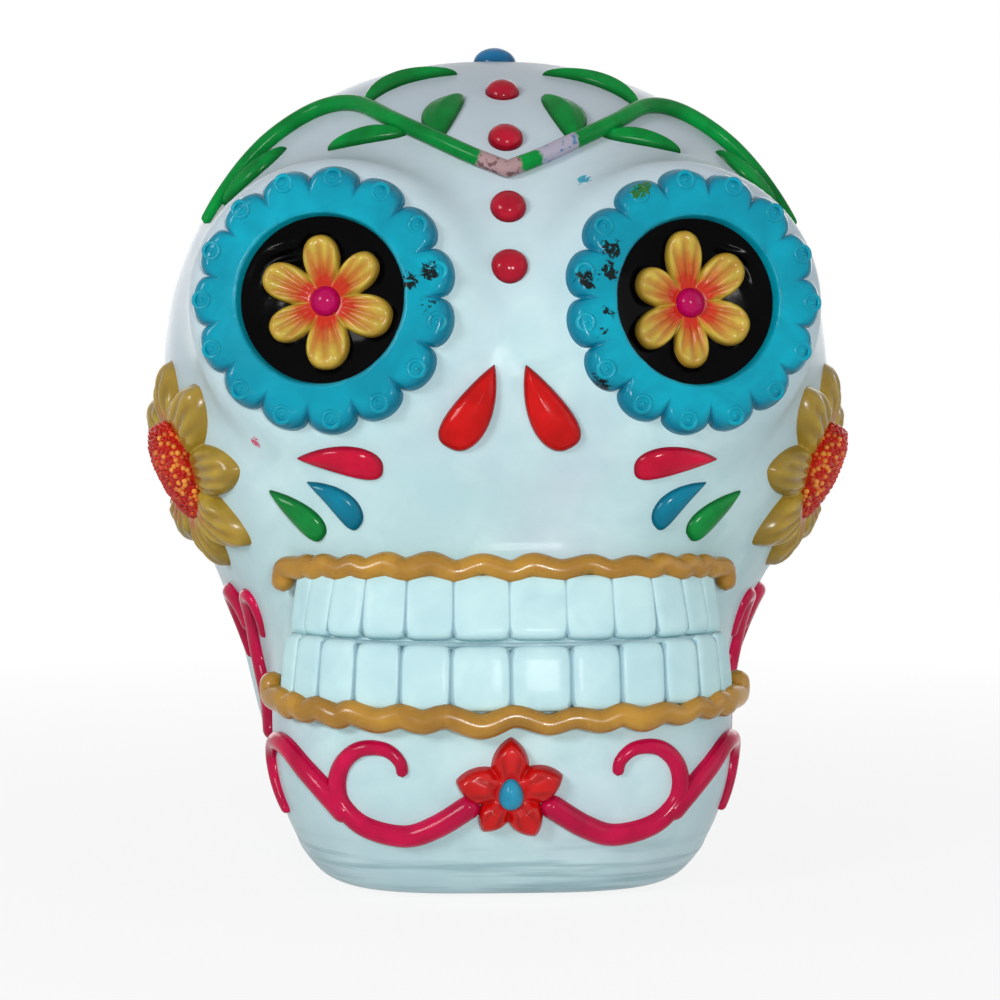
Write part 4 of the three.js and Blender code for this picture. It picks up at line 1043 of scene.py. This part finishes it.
def add_pair(name, mesh, finish, slot, node=None):
    """A right-hand piece and its mirror image; each replaces the node of its side."""
    for side, half in (("right", mesh), ("left", mirrored(mesh))):
        nodes = (f"{node}_{side}",) if node else ()
        add_piece(f"{name}_{side}", half, finish, slot, *nodes)


def cord_mesh(name, strands, sides, finish):
    """A round cord along each strand of points, with a width at each point and rounded ends."""
    rounded = [(points, rounded_radius(points, widths)) for points, widths in strands]
    return grow(name, path_curve(name, rounded), cords, finish, {"Sides": sides})


# Skull casting: rows run from the crown down, in under the base to the pour hole, and up round the hollow

SKULL_SIDES = 384
OUTER_ROWS = 196
HOLLOW_ROWS = 40
# Room round each eye dish, and under its floor
DISH_CLEARANCE = 1.2
DISH_BED = 0.4
LEDGE_SOFTNESS = 0.35


def eye_hollow(p):
    """The bowl behind each eye dish, as a distance that is positive inside it."""
    along, aside = eye_offsets(p)
    reach = DISH_RADIUS + DISH_CLEARANCE
    bowl = dish_floor + DISH_BED + (DISH_RIM - DISH_CLEARANCE - dish_floor) * (aside / reach) ** 2
    return np.minimum(along - bowl, reach - aside)


def outer_skull(p):
    """The casting's outside: rounded into its flat base, with a low ledge above it and a bowl in each eye."""
    x, y, z = np.moveaxis(p, -1, 0)
    ledge = BASE_LEDGE_DEPTH / (1 + np.exp((BASE_LEDGE_HEIGHT - z) / LEDGE_SOFTNESS))
    uneven = np.sin(x / 7.3 + 1) * np.sin(z / 9.1) + np.sin(y / 8.2 + 2) * np.sin(z / 6.7 + 0.5)
    body = skull(p) + ledge - BASE_LEDGE_DEPTH + HAND_WAVE * uneven
    return np.maximum(-soft_join(-body, z, 4 * BASE_ROUND), eye_hollow(p))


def hollow_form(p):
    return np.maximum(bare_skull(p) + WALL, WALL - p[..., 2])


def ray_directions(polar, turns):
    return np.stack([np.sin(polar) * np.sin(turns), -np.sin(polar) * np.cos(turns),
                     np.cos(polar) + 0 * turns], -1)


def to_hole_rim(field, turns):
    """Polar angle at which each turn's ray comes down to the pour hole's edge."""
    def beyond(polar):
        point = cast(field, form_centre, ray_directions(polar, turns), 0)
        return np.hypot(point[..., 0], point[..., 1]) > POUR_HOLE_RADIUS
    return halve(beyond, np.full(turns.shape, np.pi / 2), np.full(turns.shape, np.pi), 30)


def skull_mesh():
    turns = turns_round(SKULL_SIDES)
    down = np.linspace(0, 1, OUTER_ROWS + 1)[1:, None]
    up = np.linspace(1, 0, HOLLOW_ROWS + 1)[:-1, None]
    rows = [cast(field, form_centre, ray_directions(to_hole_rim(field, turns) * shares, turns[None]), 0)
            for field, shares in ((outer_skull, down), (hollow_form, up))]
    crown, vault = (cast(field, form_centre, UPWARD, 0) for field in (outer_skull, hollow_form))
    return capped_mesh("skull_casting", np.concatenate(rows), crown, vault)


add_piece("skull_casting", skull_mesh(), white_paint, "white_casting", "skull_shell")


# Eyes

# How far the rosette laps over its dish, and where across it the round inner edge ends, the scallops begin
# and the outer edge falls away
ROSETTE_LAP = 0.3
ROSETTE_INNER_EDGE = 0.1
SCALLOP_START = 0.6
ROSETTE_SHOULDER = 0.72
SCALLOP_STEPS = 24
ROSETTE_ROWS = 36


def rosette_edge(angle):
    lobe = 2 * ((angle / (2 * np.pi) * SCALLOP_COUNT + 0.5) % 1) - 1
    return rosette_radius - SCALLOP_DEPTH * (1 - np.sqrt(1 - lobe * lobe)), lobe


def rosette_rise(share, lobe):
    """Height across the rosette: a round inner edge, a flat band, and a low pillow for each scallop."""
    inner = np.sqrt(1 - (1 - np.clip(share / ROSETTE_INNER_EDGE, 0, 1)) ** 2)
    outer = np.sqrt(1 - np.clip((share - ROSETTE_SHOULDER) / (1 - ROSETTE_SHOULDER), 0, 1) ** 2.2)
    scallop = np.clip((share - SCALLOP_START) / 0.2, 0, 1)
    pillow = 0.9 + scallop * (0.1 - 0.3 * np.abs(lobe) ** 5)
    return ROSETTE_HEIGHT * inner * outer * pillow


def rosette_mesh():
    """A scalloped ring that laps over its dish; its points know how near they are to the outer edge, with the
    valleys between scallops counted nearer, so that the painted shade is deepest there.
    """
    angle = turns_round(SCALLOP_COUNT * SCALLOP_STEPS)[None, :]
    sides = angle.size
    share = np.linspace(0, 1, ROSETTE_ROWS)[:, None]
    edge, lobe = rosette_edge(angle)
    inner = DISH_RADIUS - ROSETTE_LAP
    distance = inner + (edge - inner) * share
    a, b = distance * np.cos(angle), distance * np.sin(angle)
    floor = ground_under(eye)(a, b)
    inside = np.where(np.hypot(a, b) < rosette_inner, np.maximum(floor, DISH_RIM), floor)
    top = point_in(eye, a, b, inside + rosette_rise(share, lobe))
    foot_out = point_in(eye, a[-1:], b[-1:], floor[-1:] - FOOT)
    foot_in = point_in(eye, a[:1], b[:1], floor[:1] - FOOT)
    rows = np.concatenate([top, foot_out, foot_in])
    faces = loop_faces(len(rows), sides)
    last = (len(rows) - 1) * sides
    faces += [(last + s, last + (s + 1) % sides, (s + 1) % sides, s) for s in range(sides)]
    rim = np.concatenate([(share + 0.3 * share * np.abs(lobe) ** 6).ravel(), np.ones(sides), np.zeros(sides)])
    return make_mesh("eye_rosette", rows.reshape(-1, 3), faces, rim=rim)


RING_RADIUS = 1.4
RING_THICKNESS = 0.42
DOT_RADIUS = 0.55
STUD_SINK = 0.26
STUD_SHARE = 0.7
# How far the studs lean outwards with the scallops
STUD_LEAN = 0.12


def rosette_studs():
    angle = np.arange(SCALLOP_COUNT) * 2 * np.pi / SCALLOP_COUNT
    edge, lobe = rosette_edge(angle)
    distance = rosette_inner + (edge - rosette_inner) * STUD_SHARE
    a, b = distance * np.cos(angle), distance * np.sin(angle)
    rise = rosette_rise(np.full(angle.shape, STUD_SHARE), lobe)
    points = point_in(eye, a, b, ground_under(eye)(a, b) + rise - STUD_SINK)
    out = unit(eye["out"] + STUD_LEAN * unit(points - eye["origin"]))
    cloud = point_cloud("rosette_studs", points, out=out)
    return grow("eye_rosette_studs", cloud, stud_tree(), turquoise, {
        "Ring radius": RING_RADIUS * MM, "Ring thickness": RING_THICKNESS * MM,
        "Dot radius": DOT_RADIUS * MM})


def dish_height(distance):
    return DISH_RIM - DISH_DEPTH * (1 - (distance / DISH_RADIUS) ** 2)


# A patch of ripples in the dish: its bearing, distance and half widths, and how the ripples run
RIPPLE_BEARING = math.radians(50)
RIPPLE_PLACE = 10.5
RIPPLE_REACH = (2.6, 5)
RIPPLE_SPACING = 2.8
RIPPLE_BEND = 1.9
RIPPLE_HEIGHT = 0.42
# Height of the low drag marks all over the dish
BRUSH_DRAG = 0.1
DISH_SIDES = 160
DISH_RINGS = 48


def dish_mesh():
    """A shallow bowl, with ripples left by the brush, most in the upper outer part."""
    angle = turns_round(DISH_SIDES)[None, :]
    distance = np.linspace(0, DISH_RADIUS, DISH_RINGS + 1)[1:, None]
    ripple = BRUSH_DRAG * np.sin(5 * angle + distance) * np.sin(distance / DISH_RADIUS * np.pi)
    across = distance * np.cos(angle - RIPPLE_BEARING)
    along = distance * np.sin(angle - RIPPLE_BEARING)
    patch = np.exp(-((across - RIPPLE_PLACE) / RIPPLE_REACH[0]) ** 2 - (along / RIPPLE_REACH[1]) ** 2)
    wave = (across + np.sin(along / RIPPLE_BEND)) / RIPPLE_SPACING
    ripple += RIPPLE_HEIGHT * patch * np.sin(2 * np.pi * wave)
    a, b, height = distance * np.cos(angle), distance * np.sin(angle), dish_height(distance)
    bowl = point_in(eye, a, b, height + ripple)
    under = point_in(eye, a, b, height - DISH_THICKNESS / 2)[::-1]
    centre, back = (point_in(eye, 0.0, 0.0, dish_height(0.0) - sink) for sink in (0.0, DISH_THICKNESS / 2))
    return capped_mesh("eye_dish", np.concatenate([bowl, under]), centre, back)


def eye_flower_mesh(turn, seed):
    return flower_mesh(
        "eye_flower", eye, petals=6, radius=DISH_RADIUS - EYE_FLOWER_MARGIN, valley=EYE_FLOWER_VALLEY,
        fall=ROUND_PETAL, core=EYE_BEAD_RADIUS + 1, height=EYE_FLOWER_HEIGHT,
        core_height=EYE_FLOWER_HEIGHT * 0.7, ground=lambda a, b: dish_height(np.hypot(a, b)),
        turn=np.pi / 2 + turn, creases=(-0.5, 0.0, 0.45), crease_depth=0.42, crease_fade=0.2,
        flat=8, seed=seed)


add_pair("eye_rosette", rosette_mesh(), turquoise, "turquoise_rosette", "eye_rosette")
add_pair("eye_rosette_studs", rosette_studs(), turquoise, "turquoise_rosette")
add_pair("eye_dish", dish_mesh(), black, "black_dish", "eye_dish")
right_flower = eye_flower_mesh(EYE_FLOWER_TURN, 3)
left_flower = mirrored(eye_flower_mesh(-EYE_FLOWER_TURN, 4))
add_piece("eye_flower_right", right_flower, eye_petal_paint, "ochre_eye_petals", "eye_flower_right")
add_piece("eye_flower_left", left_flower, eye_petal_paint, "ochre_eye_petals", "eye_flower_left")
eye_bead = bead_mesh("eye_bead", eye, EYE_BEAD_RADIUS, EYE_BEAD_HEIGHT,
                     level_ground(dish_height(EYE_BEAD_RADIUS) + EYE_FLOWER_HEIGHT * 0.5))
add_pair("eye_bead", eye_bead, magenta, "magenta_bead", "eye_bead")


# Nose and cheeks

pair_across = (BLUE["width"] + GREEN["width"]) / 2 + PETAL_CLEARANCE
pair_x = pair_across * math.sin(PETAL_TILT) + GREEN_SHIFT * math.cos(PETAL_TILT)
pair_z = pair_across * math.cos(PETAL_TILT) - GREEN_SHIFT * math.sin(PETAL_TILT)
nose_place = face_place((NOSE_GAP + NOSE["width"]) / 2, eye_z - NOSE_BELOW_EYES, np.pi / 2 + NOSE_TILT)
crimson_place = face_place(eye_x - CRIMSON_INSET, high_petal_z, CRIMSON_TILT)
blue_place = face_place(eye_x - BLUE_INSET, low_petals_z + pair_z / 2, PETAL_TILT)
green_place = face_place(eye_x - BLUE_INSET + pair_x, low_petals_z - pair_z / 2, PETAL_TILT)
for name, slot, place, size, finish in (
        ("nose_drop", "red_nose", nose_place, NOSE, red),
        ("cheek_petal_crimson", "crimson_petal", crimson_place, CRIMSON, crimson),
        ("cheek_petal_blue", "blue_petal", blue_place, BLUE, petal_blue),
        ("cheek_petal_green", "green_petal", green_place, GREEN, petal_green)):
    add_pair(name, drop_mesh(name, place, tear, **size, lean=TEAR_LEAN), finish, slot, name)


# Mouth

half_edges = np.concatenate([[0], np.cumsum(TOOTH_WIDTHS)])
edges = np.concatenate([-half_edges[:0:-1], half_edges])
middles = (edges[1:] + edges[:-1]) / 2
TOOTH_SQUARENESS = 5.2
# How far a tooth runs into its neighbours, under its trim and towards the bite
TOOTH_MERGE = 0.6
GUM_MERGE = 1.7
BITE_MERGE = 0.3
# How much one tooth leans or is larger than another, and how much of the casting's slope the teeth follow
TOOTH_VARIETY = 0.012
TOOTH_PITCH = 0.6
# Where a tooth's middle and the bite's ridge lie, and a tooth's half depth, in shares of the teeth's bulge
TOOTH_MIDDLE = 0.12
BITE_LEVEL = 0.78
TOOTH_DEPTH = 0.88


def teeth_row(name, bottom_z, height, tree, seed):
    """One rounded tooth at each place along the bite, each a little different."""
    vary = np.random.default_rng(seed)
    widths = np.diff(edges)
    points = on_jaw(middles, mouth_height(bottom_z + height / 2, middles), TOOTH_BULGE * TOOTH_MIDDLE)
    out = unit(normal_at(points) * (1, 1, TOOTH_PITCH))
    lean = vary.normal(0, TOOTH_VARIETY, len(middles))
    up = unit(UPWARD + lean[:, None] * np.cross(UPWARD, out) - out * out[:, 2:3])
    size = np.stack([widths / 2 + TOOTH_MERGE, np.full(len(widths), TOOTH_BULGE * TOOTH_DEPTH),
                     np.full(len(widths), height / 2)], -1)
    size = size * (1 + vary.normal(0, TOOTH_VARIETY, size.shape))
    cloud = point_cloud(name, points, out=out, up=up, size=size * MM)
    return grow(name, cloud, tree, tooth_white, {"Squareness": TOOTH_SQUARENESS})


# How far a trim's rounded end runs on beyond its hook, and how uneven its waves and its width are
TRIM_DROP = 2.0
WAVE_PLACE = 0.5
WAVE_SIZES = (0.9, 2.4)
WIDTH_BEAT = 0.3
TRIM_STEPS = 260
BITE_STEPS = 200


def trim_path(z, swell, vary):
    """A gold band that swells unevenly away from each tooth and hooks round each corner of the mouth."""
    turns = np.array((1, 2, 3)) / 3 * np.pi / 2
    hook_z = mouth_height(z, mouth_end) - swell * TRIM_HOOK * (1 - np.cos(turns))
    hook = np.stack([mouth_end + TRIM_HOOK * np.sin(turns), hook_z], -1)
    hook = np.concatenate([hook, hook[-1:] - (0, swell * TRIM_DROP)])
    knots = np.sort(np.concatenate([edges, middles]))
    scale = np.interp(np.abs(knots), half_edges[:-1], np.array(TOOTH_WIDTHS) / TOOTH_WIDTHS[0])
    knots[1:-1] += vary.normal(0, WAVE_PLACE, len(knots) - 2) * scale[1:-1]
    waves = TRIM_WAVE * np.where(np.arange(len(knots)) % 2, 1, -1)
    waves = waves * vary.uniform(*WAVE_SIZES, len(knots))
    wavy = np.stack([knots, mouth_height(z, knots) + swell * waves * scale], -1)
    return smooth_path(np.concatenate([(hook * (-1, 1))[::-1], wavy, hook]), TRIM_STEPS)


def trim_mesh(name, z, swell, seed):
    vary = np.random.default_rng(seed)
    flat = trim_path(z, swell, vary)
    points = on_jaw(flat[:, 0], flat[:, 1], TRIM_HEIGHT - TRIM_WIDTH / 2)
    beat = np.interp(flat[:, 0], middles, vary.normal(0, WIDTH_BEAT, len(middles)))
    return cord_mesh(name, [(points, TRIM_WIDTH + beat)], sides=20, finish=gold)


def bite_mesh():
    """The thin ridge left between the two cut lines of the bite."""
    distance = np.linspace(-half_mouth, half_mouth, BITE_STEPS)
    points = on_jaw(distance, mouth_height(bite_z, distance), TOOTH_BULGE * BITE_LEVEL)
    widths = np.full(len(points), BITE_GAP)
    return cord_mesh("bite_ridge", [(points, widths)], sides=10, finish=bite_shade_grey)


tooth_nodes = tooth_tree()
for name, bottom_z, height, seed in (
        ("upper_teeth", upper_teeth_z - BITE_MERGE, UPPER_TOOTH_HEIGHT, 11),
        ("lower_teeth", lower_teeth_z - GUM_MERGE, LOWER_TOOTH_HEIGHT, 12)):
    row = teeth_row(name, bottom_z, height + BITE_MERGE + GUM_MERGE, tooth_nodes, seed)
    add_piece(name, row, tooth_white, "white_teeth", name)
add_piece("bite_ridge", bite_mesh(), bite_shade_grey, "white_teeth")
for name, z, swell, seed in (("upper_trim", upper_trim_z, 1, 21), ("lower_trim", lower_trim_z, -1, 22)):
    add_piece(name, trim_mesh(name, z, swell, seed), gold, "gold_trim", name)


# Jaw

chin = jaw_place(0, chin_z)
chin_flower = flower_mesh(
    "chin_flower", chin, petals=5, radius=CHIN_FLOWER_RADIUS, valley=CHIN_FLOWER_VALLEY, fall=STAR_PETAL,
    core=CHIN_BEAD_RADIUS + 0.6, height=CHIN_FLOWER_HEIGHT, core_height=CHIN_FLOWER_HEIGHT * 0.6,
    ground=ground_under(chin), creases=(-0.4, 0.4), crease_depth=0.15, seed=6)
add_piece("chin_flower", chin_flower, chin_red, "red_chin_flower", "chin_flower")
chin_bead = bead_mesh("chin_bead", chin, CHIN_BEAD_RADIUS, CHIN_BEAD_HEIGHT,
                      ground_under(chin, CHIN_FLOWER_HEIGHT / 2), squeeze=0.3)
add_piece("chin_bead", chin_bead, sky_blue, "sky_blue_bead", "chin_bead")

# Strokes of a scroll in shares of its length and height, narrowing to their tips
CURL_STROKE = ((-0.04, 0.47), (0, 0.4), (0.12, 0.22), (0.24, 0.13), (0.39, 0.21), (0.475, 0.4), (0.49, 0.6),
               (0.46, 0.8), (0.39, 0.93), (0.3, 0.93), (0.245, 0.82), (0.235, 0.68))
TAIL_STROKE = ((0.445, 0.27), (0.52, 0.47), (0.62, 0.68), (0.75, 0.88), (0.885, 0.9),
               (0.97, 0.76), (0.96, 0.54), (0.905, 0.34), (0.855, 0.22))
SIDE_STEM = ((0.16, 0.04), (0.26, 0.2), (0.46, 0.38), (0.52, 0.58), (0.42, 0.76),
             (0.26, 0.92), (0.1, 0.92), (0.06, 0.8), (0.12, 0.68))
SIDE_CURL = ((0.47, 0.7), (0.56, 0.86), (0.72, 0.94), (0.88, 0.84), (0.94, 0.66), (0.92, 0.5))
STROKE_STEPS = 120


def scroll_mesh(name, strokes, start, bottom_z, length, height):
    strands = []
    for stroke in strokes:
        flat = smooth_path(np.array(stroke) * (length, height) + (start, bottom_z), STROKE_STEPS)
        share = np.linspace(0, 1, len(flat))
        widths = SCROLL_WIDTH + (SCROLL_TIP_WIDTH - SCROLL_WIDTH) * share**2
        points = on_jaw(flat[:, 0], flat[:, 1], SCROLL_RAISE * widths / SCROLL_WIDTH - widths / 2)
        strands.append((points, widths))
    return cord_mesh(name, strands, sides=18, finish=scroll_crimson)


side_top = temple["origin"][2] - TEMPLE_RADIUS - JAW_CLEARANCE
side_start = max(mouth_corner, scroll_start + SCROLL_LENGTH) + SIDE_SCROLL_CLEARANCE
jaw_scroll = scroll_mesh("jaw_scroll", (CURL_STROKE, TAIL_STROKE), scroll_start, BASE_BAND,
                         SCROLL_LENGTH, SCROLL_HEIGHT)
side_scroll = scroll_mesh("side_scroll", (SIDE_STEM, SIDE_CURL), side_start, side_top - SIDE_SCROLL_HEIGHT,
                          SIDE_SCROLL_LENGTH, SIDE_SCROLL_HEIGHT)
add_pair("jaw_scroll", jaw_scroll, scroll_crimson, "crimson_scroll", "jaw_scroll")
add_pair("side_scroll", side_scroll, scroll_crimson, "crimson_scroll", "side_scroll")


# Temples

SEED_SPACING = 0.75
SEED_GRAIN = 0.52
SEED_HEAD_FOOT = 3
# The seed head leans down and back from the flower's own axis
SEED_LEAN_DOWN = 0.2
SEED_LEAN_BACK = 0.1

temple_flower = flower_mesh(
    "temple_flower", temple, petals=8, radius=TEMPLE_RADIUS, valley=TEMPLE_FLOWER_VALLEY, fall=POINTED_PETAL,
    core=SEED_HEAD_RADIUS, height=TEMPLE_HEIGHT, core_height=TEMPLE_HEIGHT * 0.5,
    ground=ground_under(temple), creases=(-0.55, -0.18, 0.2, 0.6), crease_depth=0.65, crease_fade=0.12,
    flat=5, stagger=0.6, seed=8)
add_pair("temple_flower", temple_flower, temple_petal_paint, "ochre_temple_petals", "temple_flower")
seed_out = unit(temple["out"] - temple["up"] * SEED_LEAN_DOWN + temple["right"] * SEED_LEAN_BACK)
seed_place = make_place(temple["origin"] + seed_out * TEMPLE_HEIGHT / 2, seed_out, UPWARD)
seed_dome = bead_mesh("temple_seed_head", seed_place, SEED_HEAD_RADIUS, SEED_HEAD_HEIGHT - SEED_GRAIN,
                      level_ground(0.0), foot_depth=SEED_HEAD_FOOT)
seeds = grow("temple_seeds", seed_dome.copy(), seed_tree(), seed_finish, {
    "Spacing": SEED_SPACING * MM, "Grain": SEED_GRAIN * MM, "Seed": 5})
add_pair("temple_seed_head", seed_dome, seed_finish, "orange_seed_head", "temple_seed_head")
add_pair("temple_seeds", seeds, seed_finish, "orange_seed_head")


# Forehead

bead_rise = [BEAD_START]
bead_rise.append(bead_rise[0] + 2 * BEAD_RADIUS + LOWER_BEAD_GAP)
vine_rise = bead_rise[1] + BEAD_RADIUS + VINE_CLEARANCE + VINE_WIDTH
bead_rise.append(vine_rise + VINE_WIDTH + VINE_HEADROOM + BEAD_RADIUS)
bead_rise.append(bead_rise[2] + 2 * BEAD_RADIUS + UPPER_BEAD_GAP)
crown_rise = bead_rise[3] + BEAD_RADIUS + CROWN_BEAD_GAP + CROWN_BEAD_RADIUS


def midline_bead(name, rise, radius, height):
    point = on_midline(rise)
    place = make_place(point, normal_at(point), BACKWARD)
    return bead_mesh(name, place, radius, height, ground_under(place))


for i, rise in enumerate(bead_rise):
    name = f"forehead_bead_{i + 1}"
    add_piece(name, midline_bead(name, rise, BEAD_RADIUS, BEAD_HEIGHT), bead_crimson, "crimson_bead", name)
crown = midline_bead("crown_bead", crown_rise, CROWN_BEAD_RADIUS, CROWN_BEAD_HEIGHT)
add_piece("crown_bead", crown, crown_blue, "blue_crown_bead", "crown_bead")

stem_knots = [on_midline(vine_rise)]
stem_knots += [around_eye(math.radians(bearing), rosette_radius + clear) for bearing, clear in VINE_ROUTE]
stem = from_head(smooth_path(stem_knots, STEM_STEPS + 1) - head_centre, GAP)
# Share of the vine's length over which each end narrows
VINE_TAPER = 0.125
VINE_STEPS = 140


def vine_mesh():
    right = from_head(smooth_path(stem_knots, VINE_STEPS) - head_centre, VINE_HEIGHT - VINE_WIDTH / 2)
    points = np.concatenate([(right * (-1, 1, 1))[:0:-1], right])
    share = np.linspace(0, 1, len(points))
    narrow = np.clip(np.minimum(share, 1 - share) / VINE_TAPER, 0, 1)
    widths = VINE_TIP_WIDTH + (VINE_WIDTH - VINE_TIP_WIDTH) * narrow
    return cord_mesh("vine", [(points, widths)], sides=20, finish=vine_green)


# How far a leaf grows in under the vine, and the height of its rib
LEAF_ROOT = 2.0
LEAF_RIB = 0.25


def leaf_mesh(name, at, away, spread, length, width, bend):
    step = round(at * STEM_STEPS)
    root = stem[step]
    along = unit(stem[step + 1] - stem[step - 1])
    side = np.cross(normal_at(root), along) * away
    angle = math.radians(spread)
    axis = along * math.cos(angle) + side * math.sin(angle)
    clear = VINE_WIDTH / 2 + LEAF_CLEARANCE + abs(math.cos(angle)) * width / 4
    point = from_head(root + side * clear + axis * (length - LEAF_ROOT) / 2 - head_centre, 0)
    normal = normal_at(point)
    place = make_place(point, normal, unit(np.cross(normal, axis)))
    return drop_mesh(f"leaf_{name}", place, blade, length + LEAF_ROOT, width, LEAF_HEIGHT,
                     bend * away, LEAF_RIB)


add_piece("vine", vine_mesh(), vine_green, "green_vine", "vine")
for leaf in LEAVES:
    name = f"leaf_{leaf['name']}"
    add_pair(name, leaf_mesh(**leaf), vine_green, "green_vine", name)


# Floor, light and camera

def shown_rays(tree):
    """1 for rays that show the background: seen straight, in a reflection or through something."""
    rays = add_node(tree, "ShaderNodeLightPath").outputs
    either = add_node(tree, "ShaderNodeMath", {0: rays["Is Camera Ray"], 1: rays["Is Glossy Ray"]},
                      operation="MAXIMUM")
    return add_node(tree, "ShaderNodeMath", {0: either, 1: rays["Is Transmission Ray"]}, operation="MAXIMUM")


# The paper is a shade darker near the skull: how bright it is there, and between which distances in metres
# from the skull's middle it turns white
PAPER_SHADE = 0.86
PAPER_NEAR = 0.07
PAPER_FAR = 0.5


def studio_paper():
    """Seamless white paper, matt, that shows white to the camera and keeps the skull's shadow."""
    material = bpy.data.materials.new("matt white paper")
    tree = bare_tree(material)
    matt = add_node(tree, "ShaderNodeBsdfDiffuse", {"Color": linear("#f4f4f2")})
    glow = add_node(tree, "ShaderNodeEmission", {"Color": linear("#ffffff"), "Strength": 1.0})
    where = add_node(tree, "ShaderNodeTexCoord").outputs["Object"]
    away = add_node(tree, "ShaderNodeVectorMath", {0: where}, operation="LENGTH")
    far = add_node(tree, "ShaderNodeMapRange", {
        "Value": away.outputs["Value"], "From Min": PAPER_NEAR, "From Max": PAPER_FAR,
        "To Min": PAPER_SHADE}, clamp=True)
    seen = add_node(tree, "ShaderNodeMath", {0: shown_rays(tree), 1: far}, operation="MULTIPLY")
    both = add_node(tree, "ShaderNodeMixShader", {0: seen, 1: matt, 2: glow})
    add_node(tree, "ShaderNodeOutputMaterial", {"Surface": both})
    return material


FLOOR_REACH = 3.0


def add_floor():
    mesh = bpy.data.meshes.new("floor")
    corners = [(x * FLOOR_REACH, y * FLOOR_REACH, 0) for x, y in ((-1, -1), (1, -1), (1, 1), (-1, 1))]
    mesh.from_pydata(corners, [], [(0, 1, 2, 3)])
    mesh.materials.append(studio_paper())
    new_object("floor", mesh)


LAMP_AIM = Vector((0, 0, 0.08))


def add_lamp(name, place, size, power):
    lamp = bpy.data.lights.new(name, "AREA")
    lamp.size = size
    lamp.energy = power
    item = new_object(name, lamp)
    item.location = place
    item.rotation_euler = (LAMP_AIM - Vector(place)).to_track_quat("-Z", "Y").to_euler()


def add_world():
    world = bpy.data.worlds.new("studio")
    bpy.context.scene.world = world
    tree = bare_tree(world)
    soft = add_node(tree, "ShaderNodeBackground", {"Color": linear("#f2f4f6"), "Strength": 0.18})
    white = add_node(tree, "ShaderNodeBackground", {"Color": linear("#ffffff"), "Strength": 1.0})
    mix = add_node(tree, "ShaderNodeMixShader", {0: shown_rays(tree), 1: soft, 2: white})
    add_node(tree, "ShaderNodeOutputWorld", {"Surface": mix})


CAMERA_AZIMUTH = math.radians(-2.6)
CAMERA_DISTANCE = 403
CAMERA_HEIGHT = 70.3
CAMERA_LENS = 70.56
CAMERA_SHIFT = 0.007


def add_camera():
    camera = bpy.data.cameras.new("camera")
    camera.lens = CAMERA_LENS
    camera.sensor_width = 36
    camera.shift_x = CAMERA_SHIFT
    camera.clip_start = 0.01
    item = new_object("camera", camera)
    back = np.array((math.sin(CAMERA_AZIMUTH), -math.cos(CAMERA_AZIMUTH), 0))
    item.location = to_frame(np.array((0, 0, CAMERA_HEIGHT)) + back * CAMERA_DISTANCE)
    item.rotation_euler = Vector(back).to_track_quat("Z", "Y").to_euler()
    bpy.context.scene.camera = item


add_floor()
add_world()
add_lamp("key", (-0.5, -0.58, 0.3), 0.2, 2.4)
add_lamp("front", (0.08, -0.78, 0.13), 0.1, 2.1)
add_lamp("fill", (0.75, -0.4, 0.3), 0.6, 1.0)
add_lamp("back left", (-0.32, 0.85, 0.35), 0.6, 1.5)
add_lamp("back right", (0.4, 0.8, 0.45), 0.6, 1.5)
add_camera()
bpy.context.scene.view_settings.view_transform = "Standard"
